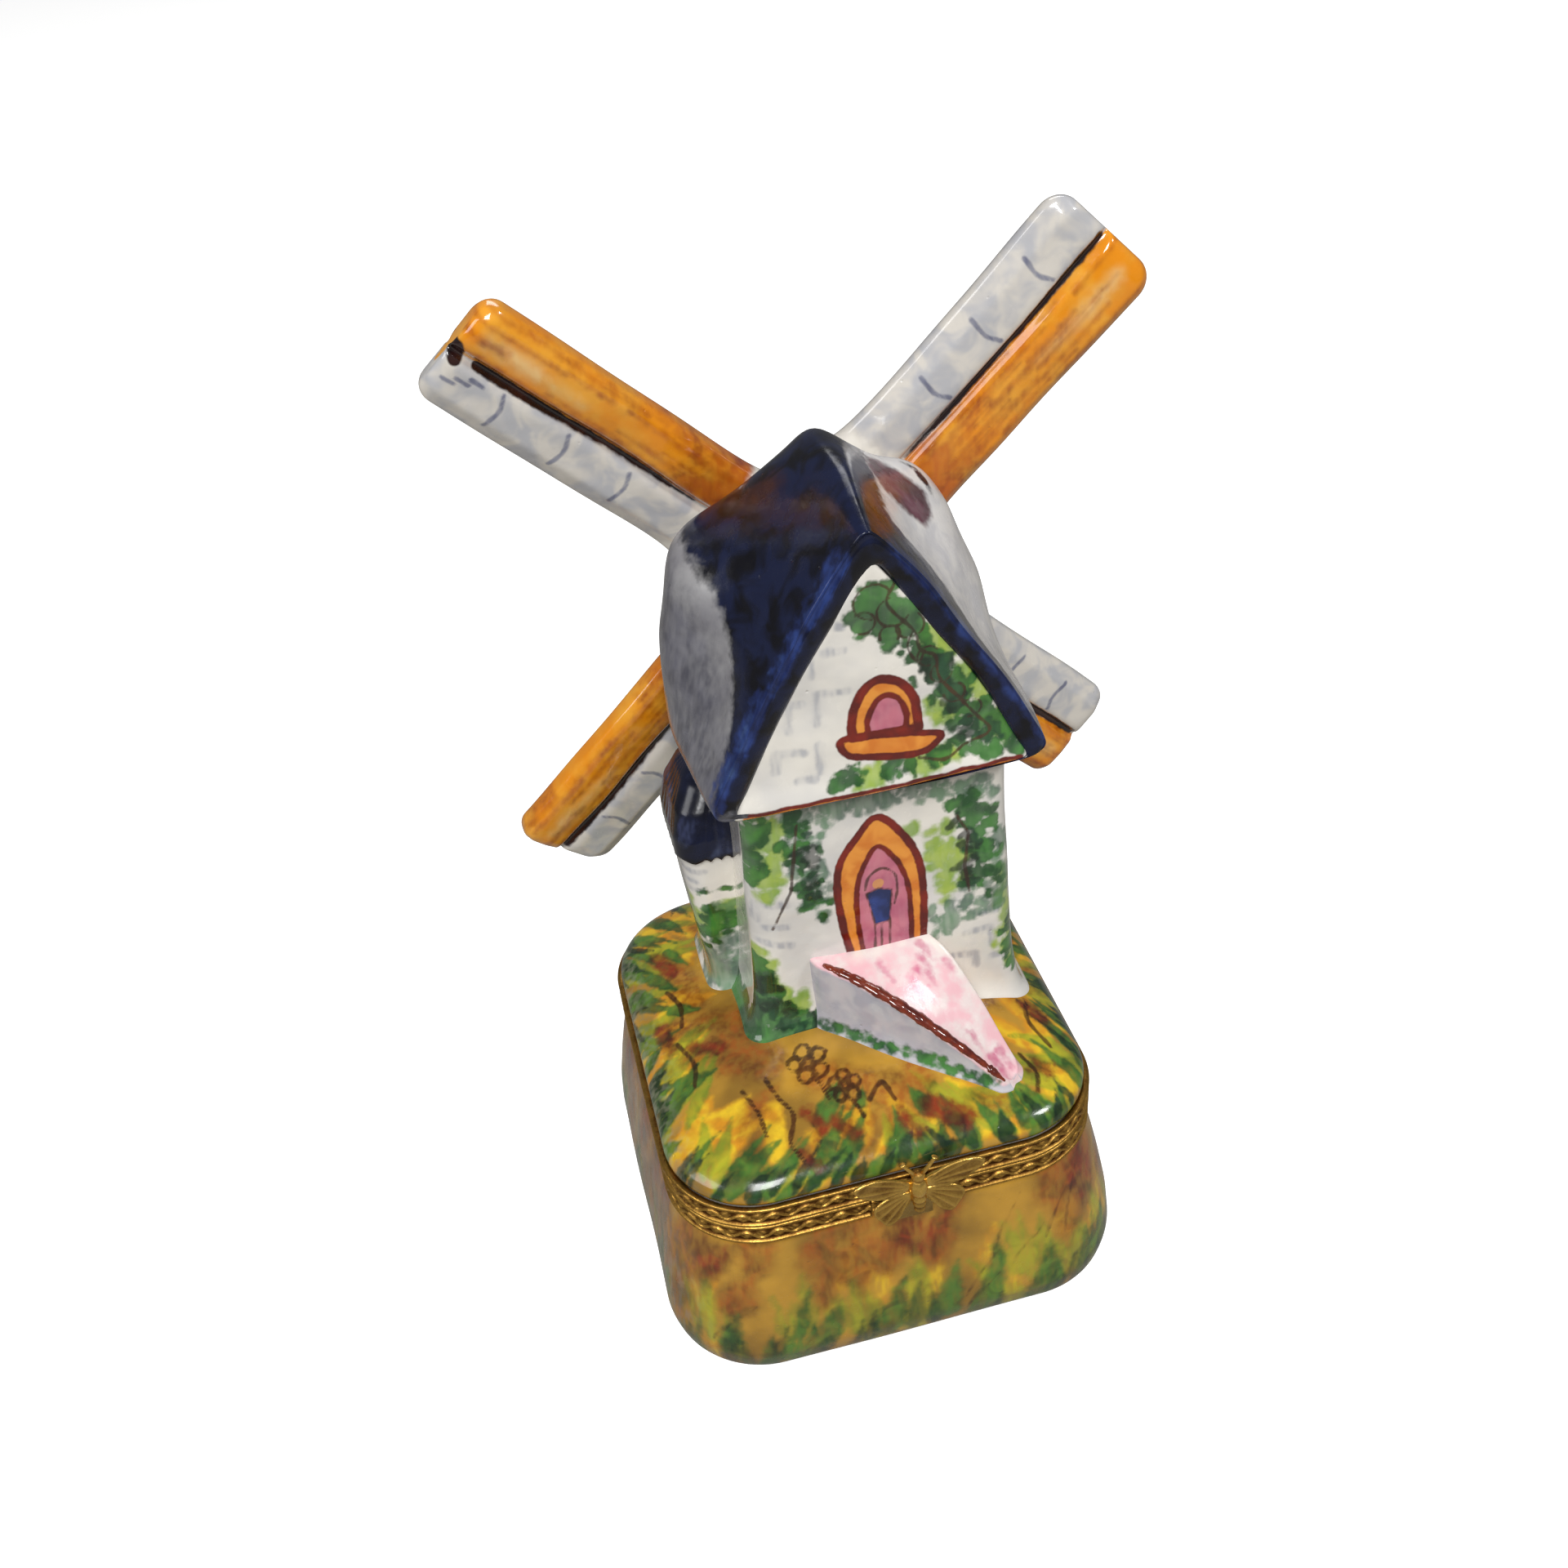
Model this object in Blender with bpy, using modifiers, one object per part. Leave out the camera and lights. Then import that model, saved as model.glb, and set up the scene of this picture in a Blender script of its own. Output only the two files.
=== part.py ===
"""Hinged porcelain trinket box in the shape of a windmill.

A square box with flared sides carries a brass collar. A second collar, hinged to it at the back,
holds a domed lid on which the mill stands: tower, side annex, ramp, cap and four fixed sails.
A butterfly on a springy tongue latches the lid at the front.

Units are metres and +Z is up. The origin is the centre of the foot. The door and the clasp
face -Y, the hinge and the sails are at the back, towards +Y.
"""

import math

import bmesh
import bpy
from mathutils import Matrix, Vector

MM = 0.001
GAP = 0.3 * MM                     # left between pieces that touch

# Box and collars
COLLAR_WIDTH = 47.2 * MM
COLLAR_CORNER = 10.4 * MM
COLLAR_THICKNESS = 0.9 * MM
COLLAR_HEIGHT = 2.4 * MM
SEAM_Z = 23.2 * MM
LIP_THICKNESS = 0.5 * MM           # the lip lies over the porcelain rim
LIP_REACH = 3.0 * MM
NECK_WIDTH = COLLAR_WIDTH - 2 * (COLLAR_THICKNESS + GAP)
CAVITY_WIDTH = 39.4 * MM
FOOT_WIDTH = 51.6 * MM
NOTCH_WIDTH = 7.0 * MM
NOTCH_DEPTH = 0.45 * MM

# Hinge
KNUCKLE_RADIUS = 1.4 * MM
BORE_RADIUS = 0.8 * MM
PIN_RADIUS = 0.5 * MM
HINGE_HALF_LENGTH = 7.0 * MM
CENTRE_KNUCKLE_HALF = 2.3 * MM
LEAF_THICKNESS = 0.5 * MM
HINGE_Y = COLLAR_WIDTH / 2 + GAP + KNUCKLE_RADIUS

# Lid
LID_Z = SEAM_Z + GAP / 2
MOUND_TOP_Z = 33.6 * MM
CORNER_STEPS = 6

# Mill
MILL_X = 4.3 * MM                  # the mill stands a little right of the middle
TOWER_TOP_Z = 63.5 * MM
TOWER_WALL = 2.4 * MM
TOWER_FRONT_Y = -6.0 * MM
TOWER_BACK_Y = 13.5 * MM
CAP_FLOOR_Z = TOWER_TOP_Z + GAP
CAP_FRONT_Y = -8.8 * MM
CAP_BACK_Y = 15.9 * MM
GABLE_THICKNESS = 2.2 * MM
GABLE_HALF_WIDTH = 14.6 * MM
GABLE_APEX_Z = 89.0 * MM

# Sails
HUB = Vector((MILL_X + 0.3 * MM, 19.6 * MM, 73.0 * MM))
HUB_RADIUS = 8.4 * MM
SAIL_TILT = math.radians(4.0)      # the upper sails lean forward
SAIL_PITCH = math.radians(-8.0)    # each sail is turned, its lattice edge to the back
SAIL_REACH = 44.4 * MM
SAIL_ROOT = HUB_RADIUS + GAP
SPAR_WIDTHS = (7.0 * MM, 5.6 * MM, 6.2 * MM, 6.2 * MM)
SPAR_THICKNESS = 3.8 * MM
LATTICE_WIDTH = 6.2 * MM
LATTICE_THICKNESS = 3.0 * MM

# Clasp
CLASP_Y = -COLLAR_WIDTH / 2        # face of the collar that the clasp lies on
TONGUE_HALF_WIDTH = 2.6 * MM
TONGUE_THICKNESS = 0.45 * MM
CLASP_AXIS_Z = 25.2 * MM
BEAD_RADIUS = 0.35 * MM

# Colours, as red, green and blue from 0 to 1
WHITE = (0.80, 0.77, 0.73)
MEADOW = (0.42, 0.33, 0.08)
BRASS = (0.55, 0.40, 0.16)
NAVY = (0.02, 0.03, 0.10)
OCHRE = (0.62, 0.28, 0.05)
LILAC = (0.62, 0.64, 0.72)
PINK = (0.72, 0.38, 0.50)
RUST = (0.26, 0.04, 0.02)


def clear_scene():
    for old in list(bpy.data.objects):
        bpy.data.objects.remove(old, do_unlink=True)


def new_collection(name):
    collection = bpy.data.collections.new(name)
    bpy.context.scene.collection.children.link(collection)
    return collection


def new_material(name, colour, roughness, metallic=0.0):
    material = bpy.data.materials.new(name)
    material.use_nodes = True
    shader = material.node_tree.nodes["Principled BSDF"]
    shader.inputs["Base Color"].default_value = (*colour, 1.0)
    shader.inputs["Roughness"].default_value = roughness
    shader.inputs["Metallic"].default_value = metallic
    return material


def glaze(name, colour):
    return new_material(name + "_glaze", colour, 0.12)


def brass(name):
    return new_material(name + "_brass", BRASS, 0.35, 1.0)


clear_scene()
PARTS = new_collection("windmill_trinket_box")
CUTTERS = new_collection("cutters")


def place(name, mesh, material, smooth=True):
    """Put a mesh in the scene as one named sub-part."""
    part = bpy.data.objects.new(name, mesh)
    PARTS.objects.link(part)
    mesh.materials.clear()
    mesh.materials.append(material)
    if smooth:
        mesh.shade_smooth()
        mesh.set_sharp_from_angle(angle=math.radians(35))
    return part


def place_cutter(name, mesh):
    cutter = bpy.data.objects.new(name, mesh)
    CUTTERS.objects.link(cutter)
    cutter.hide_render = True
    cutter.display_type = "WIRE"
    return cutter


def boolean(part, other, operation="DIFFERENCE"):
    modifier = part.modifiers.new(operation.lower(), "BOOLEAN")
    modifier.operation = operation
    modifier.solver = "EXACT"
    modifier.object = other


def bevel(part, width, segments=2):
    modifier = part.modifiers.new("bevel", "BEVEL")
    modifier.width = width
    modifier.segments = segments
    modifier.limit_method = "ANGLE"
    modifier.angle_limit = math.radians(40)


def mesh_from(name, build):
    """Run build on an empty bmesh and return the closed mesh it makes."""
    work = bmesh.new()
    build(work)
    bmesh.ops.recalc_face_normals(work, faces=work.faces)
    mesh = bpy.data.meshes.new(name)
    work.to_mesh(mesh)
    work.free()
    return mesh


def block(name, low, high):
    """A box between two corners."""
    low, high = Vector(low), Vector(high)

    def build(work):
        size = Matrix.Diagonal((*(high - low), 1.0))
        bmesh.ops.create_cube(work, size=1.0, matrix=Matrix.Translation((low + high) / 2) @ size)

    return mesh_from(name, build)


def rod(name, start, end, radius, sides=16):
    """A cylinder between two points."""
    start, end = Vector(start), Vector(end)
    axis = end - start

    def build(work):
        turn = Vector((0, 0, 1)).rotation_difference(axis).to_matrix().to_4x4()
        bmesh.ops.create_cone(
            work, cap_ends=True, segments=sides, radius1=radius, radius2=radius,
            depth=axis.length, matrix=Matrix.Translation((start + end) / 2) @ turn,
        )

    return mesh_from(name, build)


def loft(name, rings, close=False):
    """Skin a row of rings that have equal counts of points.

    The ends are capped, or with close the last ring is joined back to the first.
    """
    def build(work):
        rows = [[work.verts.new(point) for point in ring] for ring in rings]
        pairs = list(zip(rows, rows[1:]))
        if close:
            pairs.append((rows[-1], rows[0]))
        for lower, upper in pairs:
            for k in range(len(lower)):
                work.faces.new((lower[k - 1], lower[k], upper[k], upper[k - 1]))
        if not close:
            work.faces.new(rows[0])
            work.faces.new(rows[-1])

    return mesh_from(name, build)


def rounded_ring(width, depth, radius, z, centre=(0.0, 0.0), steps=CORNER_STEPS):
    """Points of a level rounded rectangle, anticlockwise from above."""
    points = []
    corners = ((1, -1), (1, 1), (-1, 1), (-1, -1))
    for quarter, (side_x, side_y) in enumerate(corners):
        middle_x = centre[0] + side_x * (width / 2 - radius)
        middle_y = centre[1] + side_y * (depth / 2 - radius)
        for step in range(steps + 1):
            angle = math.radians(90 * (quarter - 1 + step / steps))
            points.append((middle_x + radius * math.cos(angle),
                           middle_y + radius * math.sin(angle), z))
    return points


def square_rings(profile):
    """Rounded squares from a profile of height, width and corner radius in millimetres."""
    return [rounded_ring(width * MM, width * MM, radius * MM, height * MM)
            for height, width, radius in profile]


def outline_part(name, points, thickness, matrix, material):
    """A flat outline, smooth through its points, extruded to its thickness."""
    curve = bpy.data.curves.new(name, "CURVE")
    curve.dimensions = "2D"
    curve.fill_mode = "BOTH"
    curve.extrude = thickness / 2
    curve.resolution_u = 3
    spline = curve.splines.new("BEZIER")
    spline.bezier_points.add(len(points) - 1)
    for knot, (x, y) in zip(spline.bezier_points, points):
        knot.co = (x, y, 0)
        knot.handle_left_type = knot.handle_right_type = "AUTO"
    spline.use_cyclic_u = True
    return curve_to_part(name, curve, matrix, material)


def wire_part(name, points, radius, material, matrix=Matrix.Identity(4), steps=3):
    """A round wire through its points."""
    curve = bpy.data.curves.new(name, "CURVE")
    curve.dimensions = "3D"
    curve.bevel_depth = radius
    curve.bevel_resolution = 2
    curve.resolution_u = steps
    curve.use_fill_caps = True
    spline = curve.splines.new("BEZIER")
    spline.bezier_points.add(len(points) - 1)
    for knot, point in zip(spline.bezier_points, points):
        knot.co = point
        knot.handle_left_type = knot.handle_right_type = "AUTO"
    return curve_to_part(name, curve, matrix, material)


def curve_to_part(name, curve, matrix, material):
    """Turn a curve into a closed mesh where it lies, and drop the curve."""
    holder = bpy.data.objects.new(name + "_curve", curve)
    PARTS.objects.link(holder)
    bpy.context.view_layer.update()
    evaluated = holder.evaluated_get(bpy.context.evaluated_depsgraph_get())
    mesh = bpy.data.meshes.new_from_object(evaluated)
    bpy.data.objects.remove(holder, do_unlink=True)
    work = bmesh.new()
    work.from_mesh(mesh)
    bmesh.ops.remove_doubles(work, verts=work.verts, dist=0.00001)
    bmesh.ops.recalc_face_normals(work, faces=work.faces)
    work.to_mesh(mesh)
    work.free()
    part = place(name, mesh, material)
    part.matrix_world = matrix
    return part


def move_origin(part, point):
    """Put a part's origin on its joint's axis and leave its shape where it is."""
    part.data.transform(Matrix.Translation(-Vector(point)))
    part.location = point


# The box, from foot to rim: height, width, corner radius in millimetres
BOX_PROFILE = (
    (0.0, 47.0, 8.8), (0.5, 49.2, 9.8), (1.8, 51.0, 10.6), (4.2, FOOT_WIDTH / MM, 11.0),
    (8.5, 51.0, 11.0), (13.5, 49.4, 10.8), (17.5, 47.8, 10.6), (20.35, 46.2, 10.0),
    (20.35, NECK_WIDTH / MM, 9.2), (22.25, NECK_WIDTH / MM, 9.2),
)
CAVITY_PROFILE = (
    (2.8, 35.0, 6.0), (3.6, 39.0, 7.8), (6.0, 41.8, 8.8), (12.0, 41.8, 8.8),
    (18.0, CAVITY_WIDTH / MM, 8.2), (24.0, CAVITY_WIDTH / MM, 8.2),
)
MOUND_PROFILE = (
    (24.15, NECK_WIDTH / MM, 9.2), (25.95, NECK_WIDTH / MM, 9.2), (26.05, 46.2, 10.0),
    (27.0, 46.0, 10.2), (28.0, 44.2, 10.4), (29.1, 40.2, 10.6), (30.3, 35.0, 10.2),
    (31.6, 28.6, 9.4), (32.7, 21.4, 8.0), (MOUND_TOP_Z / MM, 12.6, 5.0),
)
HOLLOW_PROFILE = (
    (23.0, 39.4, 8.2), (25.4, 39.4, 8.2), (26.6, 36.0, 8.2), (28.0, 30.0, 7.8),
    (29.4, 23.0, 6.6), (30.4, 14.0, 4.0),
)


def make_box():
    box = place("base_box", loft("base_box", square_rings(BOX_PROFILE)),
                glaze("base_box", MEADOW))
    boolean(box, place_cutter("box_cavity", loft("box_cavity", square_rings(CAVITY_PROFILE))))


def collar_section(seam_z, away):
    """The collar's L section, as inset from its outer face and height.

    away is 1 for the upper collar, which rises from the seam, and -1 for the lower one.
    """
    edge_z = seam_z + away * COLLAR_HEIGHT
    lip_z = seam_z + away * LIP_THICKNESS
    return (
        (0.0, seam_z), (0.0, edge_z), (COLLAR_THICKNESS, edge_z), (COLLAR_THICKNESS, lip_z),
        (LIP_REACH, lip_z), (LIP_REACH, seam_z),
    )


def make_collar(name, seam_z, away):
    rings = []
    for inset, z in collar_section(seam_z, away):
        width = COLLAR_WIDTH - 2 * inset
        rings.append(rounded_ring(width, width, COLLAR_CORNER - inset, z))
    return place(name, loft(name, rings, close=True), brass(name))


def make_collars():
    lower = make_collar("lower_collar", SEAM_Z - GAP / 2, -1)
    make_collar("upper_collar", LID_Z, 1)
    half = NOTCH_WIDTH / 2
    notch = block("clasp_notch", (-half, CLASP_Y - 1 * MM, SEAM_Z - 4 * MM),
                  (half, CLASP_Y + NOTCH_DEPTH, SEAM_Z + 1 * MM))
    boolean(lower, place_cutter("clasp_notch", notch))


def make_hinge_half(name, away, spans):
    """A leaf on the back of a collar, with its knuckles.

    spans lists the start and end of each knuckle along the axis.
    """
    axis = Vector((0, HINGE_Y, SEAM_Z))
    leaf_front = COLLAR_WIDTH / 2 + GAP
    near = SEAM_Z + away * (KNUCKLE_RADIUS + GAP)
    far = SEAM_Z + away * (COLLAR_HEIGHT + 0.1 * MM)
    leaf = block(name, (-HINGE_HALF_LENGTH, leaf_front, min(near, far)),
                 (HINGE_HALF_LENGTH, leaf_front + LEAF_THICKNESS, max(near, far)))
    part = place(name, leaf, brass(name))
    for number, (start, end) in enumerate(spans, 1):
        web_low, web_high = sorted((SEAM_Z, SEAM_Z + away * (COLLAR_HEIGHT - 0.3 * MM)))
        web = block("web", (start, leaf_front, web_low),
                    (end, leaf_front + LEAF_THICKNESS, web_high))
        knuckle = rod("knuckle", axis + Vector((start, 0, 0)), axis + Vector((end, 0, 0)),
                      KNUCKLE_RADIUS)
        boolean(part, place_cutter(f"{name}_web_{number}", web), "UNION")
        boolean(part, place_cutter(f"{name}_knuckle_{number}", knuckle), "UNION")
    reach = Vector((HINGE_HALF_LENGTH + 1 * MM, 0, 0))
    bore = rod("bore", axis - reach, axis + reach, BORE_RADIUS, 12)
    boolean(part, place_cutter(name + "_bore", bore))
    return part


def make_hinge():
    inner = CENTRE_KNUCKLE_HALF + GAP
    make_hinge_half("hinge_leaf_lower", -1,
                    ((-HINGE_HALF_LENGTH, -inner), (inner, HINGE_HALF_LENGTH)))
    upper = make_hinge_half("hinge_leaf_upper", 1,
                            ((-CENTRE_KNUCKLE_HALF, CENTRE_KNUCKLE_HALF),))
    move_origin(upper, (0, HINGE_Y, SEAM_Z))
    axis = Vector((0, HINGE_Y, SEAM_Z))
    reach = Vector((HINGE_HALF_LENGTH + 0.4 * MM, 0, 0))
    pin = place("hinge_pin", rod("hinge_pin", axis - reach, axis + reach, PIN_RADIUS, 12),
                brass("hinge_pin"))
    bevel(pin, 0.15 * MM, 1)


def mound_cutter():
    """The mound's outer face, one gap larger, for what stands on it."""
    profile = [(height + GAP / MM, width + 2 * GAP / MM, radius + GAP / MM)
               for height, width, radius in MOUND_PROFILE]
    profile[0] = (20.0, *profile[0][1:])
    return place_cutter("mound_clearance", loft("mound_clearance", square_rings(profile)))


def make_mound():
    mound = place("lid_mound", loft("lid_mound", square_rings(MOUND_PROFILE)),
                  glaze("lid_mound", MEADOW))
    boolean(mound, place_cutter("lid_hollow", loft("lid_hollow", square_rings(HOLLOW_PROFILE))))
    vent = rod("vent", (MILL_X, 4 * MM, 28 * MM), (MILL_X, 4 * MM, 36 * MM), 1.5 * MM, 12)
    boolean(mound, place_cutter("lid_vent", vent))


# The tower, from foot to top: height, half width, front Y, back Y in millimetres
TOWER_PROFILE = (
    (26.0, 16.0, -7.6, 15.4), (33.0, 15.4, -6.9, 14.8), (38.0, 14.7, -6.3, 14.3),
    (46.0, 14.1, -6.1, 13.9), (56.0, 13.7, -6.0, 13.6),
    (TOWER_TOP_Z / MM, 13.6, TOWER_FRONT_Y / MM, TOWER_BACK_Y / MM),
)
# The annex on the tower's left face: height, reach left of the tower's middle, front Y, back Y
ANNEX_PROFILE = (
    (26.0, 17.2, 2.6, 14.2), (33.0, 17.4, 2.6, 14.0), (40.0, 18.2, 2.4, 13.6),
    (48.0, 19.0, 2.2, 13.2), (51.6, 19.1, 2.2, 13.2),
)


def tower_half_width(z):
    """Half the tower's width at a height, between the rows of its profile."""
    rows = TOWER_PROFILE
    for (low, width_low, *_), (high, width_high, *_) in zip(rows, rows[1:]):
        if z <= high:
            return width_low + (width_high - width_low) * (z - low) / (high - low)
    return rows[-1][1]


def make_tower(clearance):
    def rings(inset, stretch):
        made = []
        for row, (z, half, front, back) in enumerate(TOWER_PROFILE):
            z += stretch * ((row == len(TOWER_PROFILE) - 1) - (row == 0))
            made.append(rounded_ring(
                2 * half * MM - 2 * inset, (back - front) * MM - 2 * inset, max(2.4 * MM - inset, 0.6 * MM),
                z * MM, (MILL_X, (front + back) / 2 * MM), 3,
            ))
        return made

    tower = place("tower_body", loft("tower_body", rings(0, 0)), glaze("tower_body", WHITE))
    inside = place_cutter("tower_inside", loft("tower_inside", rings(TOWER_WALL, 1)))
    boolean(tower, clearance)
    boolean(tower, inside)


def make_annex(clearance):
    """A lean-to against the tower's left face, with its own rounded roof."""
    def ring(z, reach, front, back):
        outer = MILL_X - reach * MM
        inner = MILL_X - tower_half_width(z) * MM - GAP
        width = inner - outer
        return rounded_ring(width, (back - front) * MM, 0.4 * width, z * MM,
                            ((inner + outer) / 2, (front + back) / 2 * MM), 3)

    annex = place("side_annex", loft("side_annex", [ring(*row) for row in ANNEX_PROFILE]),
                  glaze("side_annex", WHITE))
    boolean(annex, clearance)

    roof_rows = ((51.9, 19.5, 1.8, 13.6), (54.0, 19.4, 2.2, 13.6), (56.4, 18.6, 3.2, 13.4),
                 (58.6, 17.2, 4.6, 13.0), (60.2, 15.8, 6.4, 12.4))
    place("annex_roof", loft("annex_roof", [ring(*row) for row in roof_rows]),
          glaze("annex_roof", NAVY))


# The ramp's two upper edges run from the door sill down to the right, in millimetres:
# left edge x and y, right edge x and y, height
RAMP_ROWS = (
    (-3.6, -7.2, 9.6, -7.0, 42.0), (-0.8, -9.6, 10.8, -8.2, 41.0), (2.8, -12.2, 12.2, -10.0, 38.8),
    (6.6, -14.8, 13.6, -12.4, 35.8), (10.2, -17.2, 14.8, -14.8, 32.6), (12.8, -19.0, 15.6, -16.8, 30.2),
)


def make_ramp(clearance):
    def ring(left_x, left_y, right_x, right_y, z):
        floor = 26.0
        return [Vector(point) * MM for point in (
            (left_x, left_y, floor), (left_x, left_y, z - 0.6), (left_x + 0.6, left_y + 0.3, z),
            (right_x - 0.5, right_y, z), (right_x, right_y, z - 0.6), (right_x, right_y, floor),
        )]

    ramp = place("ramp", loft("ramp", [ring(*row) for row in RAMP_ROWS]), glaze("ramp", PINK))
    boolean(ramp, clearance)
    # The ramp's back is trimmed to the tower's face
    front = TOWER_PROFILE[1][2] * MM - GAP
    trim = block("ramp_trim", (-30 * MM, front - 0.4 * MM, 20 * MM), (40 * MM, 20 * MM, 60 * MM))
    boolean(ramp, place_cutter("ramp_trim", trim))
    rail_radius = 0.55 * MM
    rail_points = [
        (left_x * MM + 0.5 * MM, left_y * MM + 0.3 * MM, z * MM + rail_radius + GAP)
        for left_x, left_y, _, _, z in RAMP_ROWS
    ]
    rail_points[0] = (rail_points[0][0] + 0.4 * MM, -8.4 * MM, rail_points[0][2] - 0.1 * MM)
    wire_part("ramp_rail", rail_points, rail_radius, glaze("ramp_rail", RUST), steps=2)


# The cap from front to back: Y, then (reach to the left, reach to the right, height) from ridge to eave
CAP_SECTIONS = (
    (-8.8, ((1.0, 1.0, 91.2), (5.8, 5.8, 84.2), (10.3, 10.2, 77.0), (14.0, 13.9, 70.0), (16.6, 16.6, 65.2))),
    (-4.0, ((1.2, 1.2, 92.0), (6.6, 5.8, 85.6), (11.6, 10.2, 78.8), (15.4, 14.0, 71.6), (17.6, 17.2, 65.6))),
    (1.0, ((1.4, 1.4, 92.8), (7.6, 6.0, 86.4), (13.4, 10.4, 80.2), (16.8, 14.2, 73.0), (18.2, 17.4, 65.9))),
    (6.0, ((1.6, 1.6, 93.0), (8.8, 7.0, 87.2), (15.2, 12.0, 82.0), (17.8, 15.0, 74.8), (18.2, 17.2, 66.2))),
    (10.6, ((1.6, 1.6, 92.4), (9.0, 7.8, 87.2), (14.8, 12.8, 82.6), (17.2, 15.8, 75.2), (17.4, 16.8, 66.4))),
    (14.0, ((1.2, 1.2, 89.4), (6.8, 6.8, 84.8), (11.4, 11.4, 80.6), (14.4, 14.4, 74.4), (15.4, 15.4, 66.4))),
    (CAP_BACK_Y / MM, ((0.8, 0.8, 84.6), (4.4, 4.4, 81.6), (7.8, 7.8, 78.4), (9.4, 9.4, 73.8),
                       (9.8, 9.8, 66.4))),
)


def gable_outline(margin):
    """The gable's curved triangle, grown by a margin. A margin also lowers its foot."""
    half = GABLE_HALF_WIDTH + margin
    foot = CAP_FLOOR_Z + 0.2 * MM
    apex_z = GABLE_APEX_Z + 1.6 * margin
    side = [(half, foot - 8 * margin)] if margin else []
    steps = 5
    for step in range(steps):
        along = step / steps
        bow = 0.9 * MM * math.sin(math.pi * along)
        side.append((half * (1 - along) + bow, foot + (apex_z - foot) * along))
    right = [(MILL_X + x, z) for x, z in side]
    left = [(MILL_X - x, z) for x, z in side]
    return right + [(MILL_X, apex_z)] + left[::-1]


def gable_slab(name, margin, front, back):
    outline = gable_outline(margin)
    return loft(name, [[(x, y, z) for x, z in outline] for y in (front, back)])


def make_cap():
    rings = []
    for y, side in CAP_SECTIONS:
        right = [(MILL_X + reach * MM, y * MM, z * MM) for _, reach, z in side]
        left = [(MILL_X - reach * MM, y * MM, z * MM) for reach, _, z in side]
        ridge = (MILL_X, y * MM, side[0][2] * MM + 0.4 * MM)
        floor = CAP_FLOOR_Z
        under = [(right[-1][0] - 1.0 * MM, y * MM, floor), (left[-1][0] + 1.0 * MM, y * MM, floor)]
        rings.append([ridge, *right, *under, *left[::-1]])
    cap = place("cap_roof", loft("cap_roof", rings), glaze("cap_roof", NAVY))
    recess = gable_slab("gable_recess", GAP, CAP_FRONT_Y - 1 * MM,
                        CAP_FRONT_Y + GABLE_THICKNESS + GAP)
    boolean(cap, place_cutter("gable_recess", recess))
    gable = place("front_gable", gable_slab("front_gable", 0.0, CAP_FRONT_Y, CAP_FRONT_Y + GABLE_THICKNESS),
                  glaze("front_gable", WHITE))
    bevel(gable, 0.4 * MM)


def make_hub():
    """A turned boss on the back of the cap, where the four sails meet."""
    root = (CAP_BACK_Y + GAP - HUB.y) / MM
    profile = ((0.0, 3.0), (4.2, 2.6), (7.0, 1.4), (HUB_RADIUS / MM, -0.4),
               (HUB_RADIUS / MM, root), (0.0, root))

    def build(work):
        points = [work.verts.new((radius * MM, 0, height * MM)) for radius, height in profile]
        for start, end in zip(points, points[1:]):
            work.edges.new((start, end))

    mesh = bpy.data.meshes.new("sail_hub")
    work = bmesh.new()
    build(work)
    work.to_mesh(mesh)
    work.free()
    hub = place("sail_hub", mesh, glaze("sail_hub", WHITE))
    screw = hub.modifiers.new("screw", "SCREW")
    screw.steps = screw.render_steps = 24
    screw.use_merge_vertices = True
    screw.merge_threshold = 0.00001
    hub.matrix_world = Matrix.Translation(HUB) @ Matrix.Rotation(math.radians(-90), 4, "X")


def make_sails():
    """Four fixed sails: on each, a thick spar board beside a thinner lattice board."""
    tilt = Matrix.Rotation(SAIL_TILT, 4, "X")
    pitch = Matrix.Rotation(SAIL_PITCH, 4, "X")
    half_gap = GAP / 2
    for number, spar_width in enumerate(SPAR_WIDTHS):
        turn = Matrix.Rotation(-math.radians(45 + 90 * number), 4, "Y")
        boards = (
            ("spar", -half_gap - spar_width, -half_gap, SPAR_THICKNESS, OCHRE),
            ("lattice", half_gap, half_gap + LATTICE_WIDTH, LATTICE_THICKNESS, LILAC),
        )
        for kind, low, high, thickness, colour in boards:
            name = f"sail_{kind}_{number + 1}"
            board = place(name, block(name, (SAIL_ROOT, -thickness / 2, low),
                                      (SAIL_REACH, thickness / 2, high)), glaze(name, colour))
            board.matrix_world = Matrix.Translation(HUB) @ tilt @ turn @ pitch
            bevel(board, 1.1 * MM, 2)


# Half of the butterfly, seen from the front: X from its middle and height, in millimetres, before the shift
UPPER_WING = ((1.05, 23.5), (1.05, 25.1), (2.9, 26.4), (5.2, 27.5), (6.8, 27.4), (6.5, 25.7), (4.9, 24.3),
              (2.9, 23.5))
BUTTERFLY_SHIFT = Vector((1.0 * MM, 0, 1.9 * MM))
LOWER_WING = ((1.05, 23.0), (1.05, 21.6), (1.9, 20.2), (3.2, 19.4), (4.5, 19.8), (4.6, 21.3), (3.4, 22.7))


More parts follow.
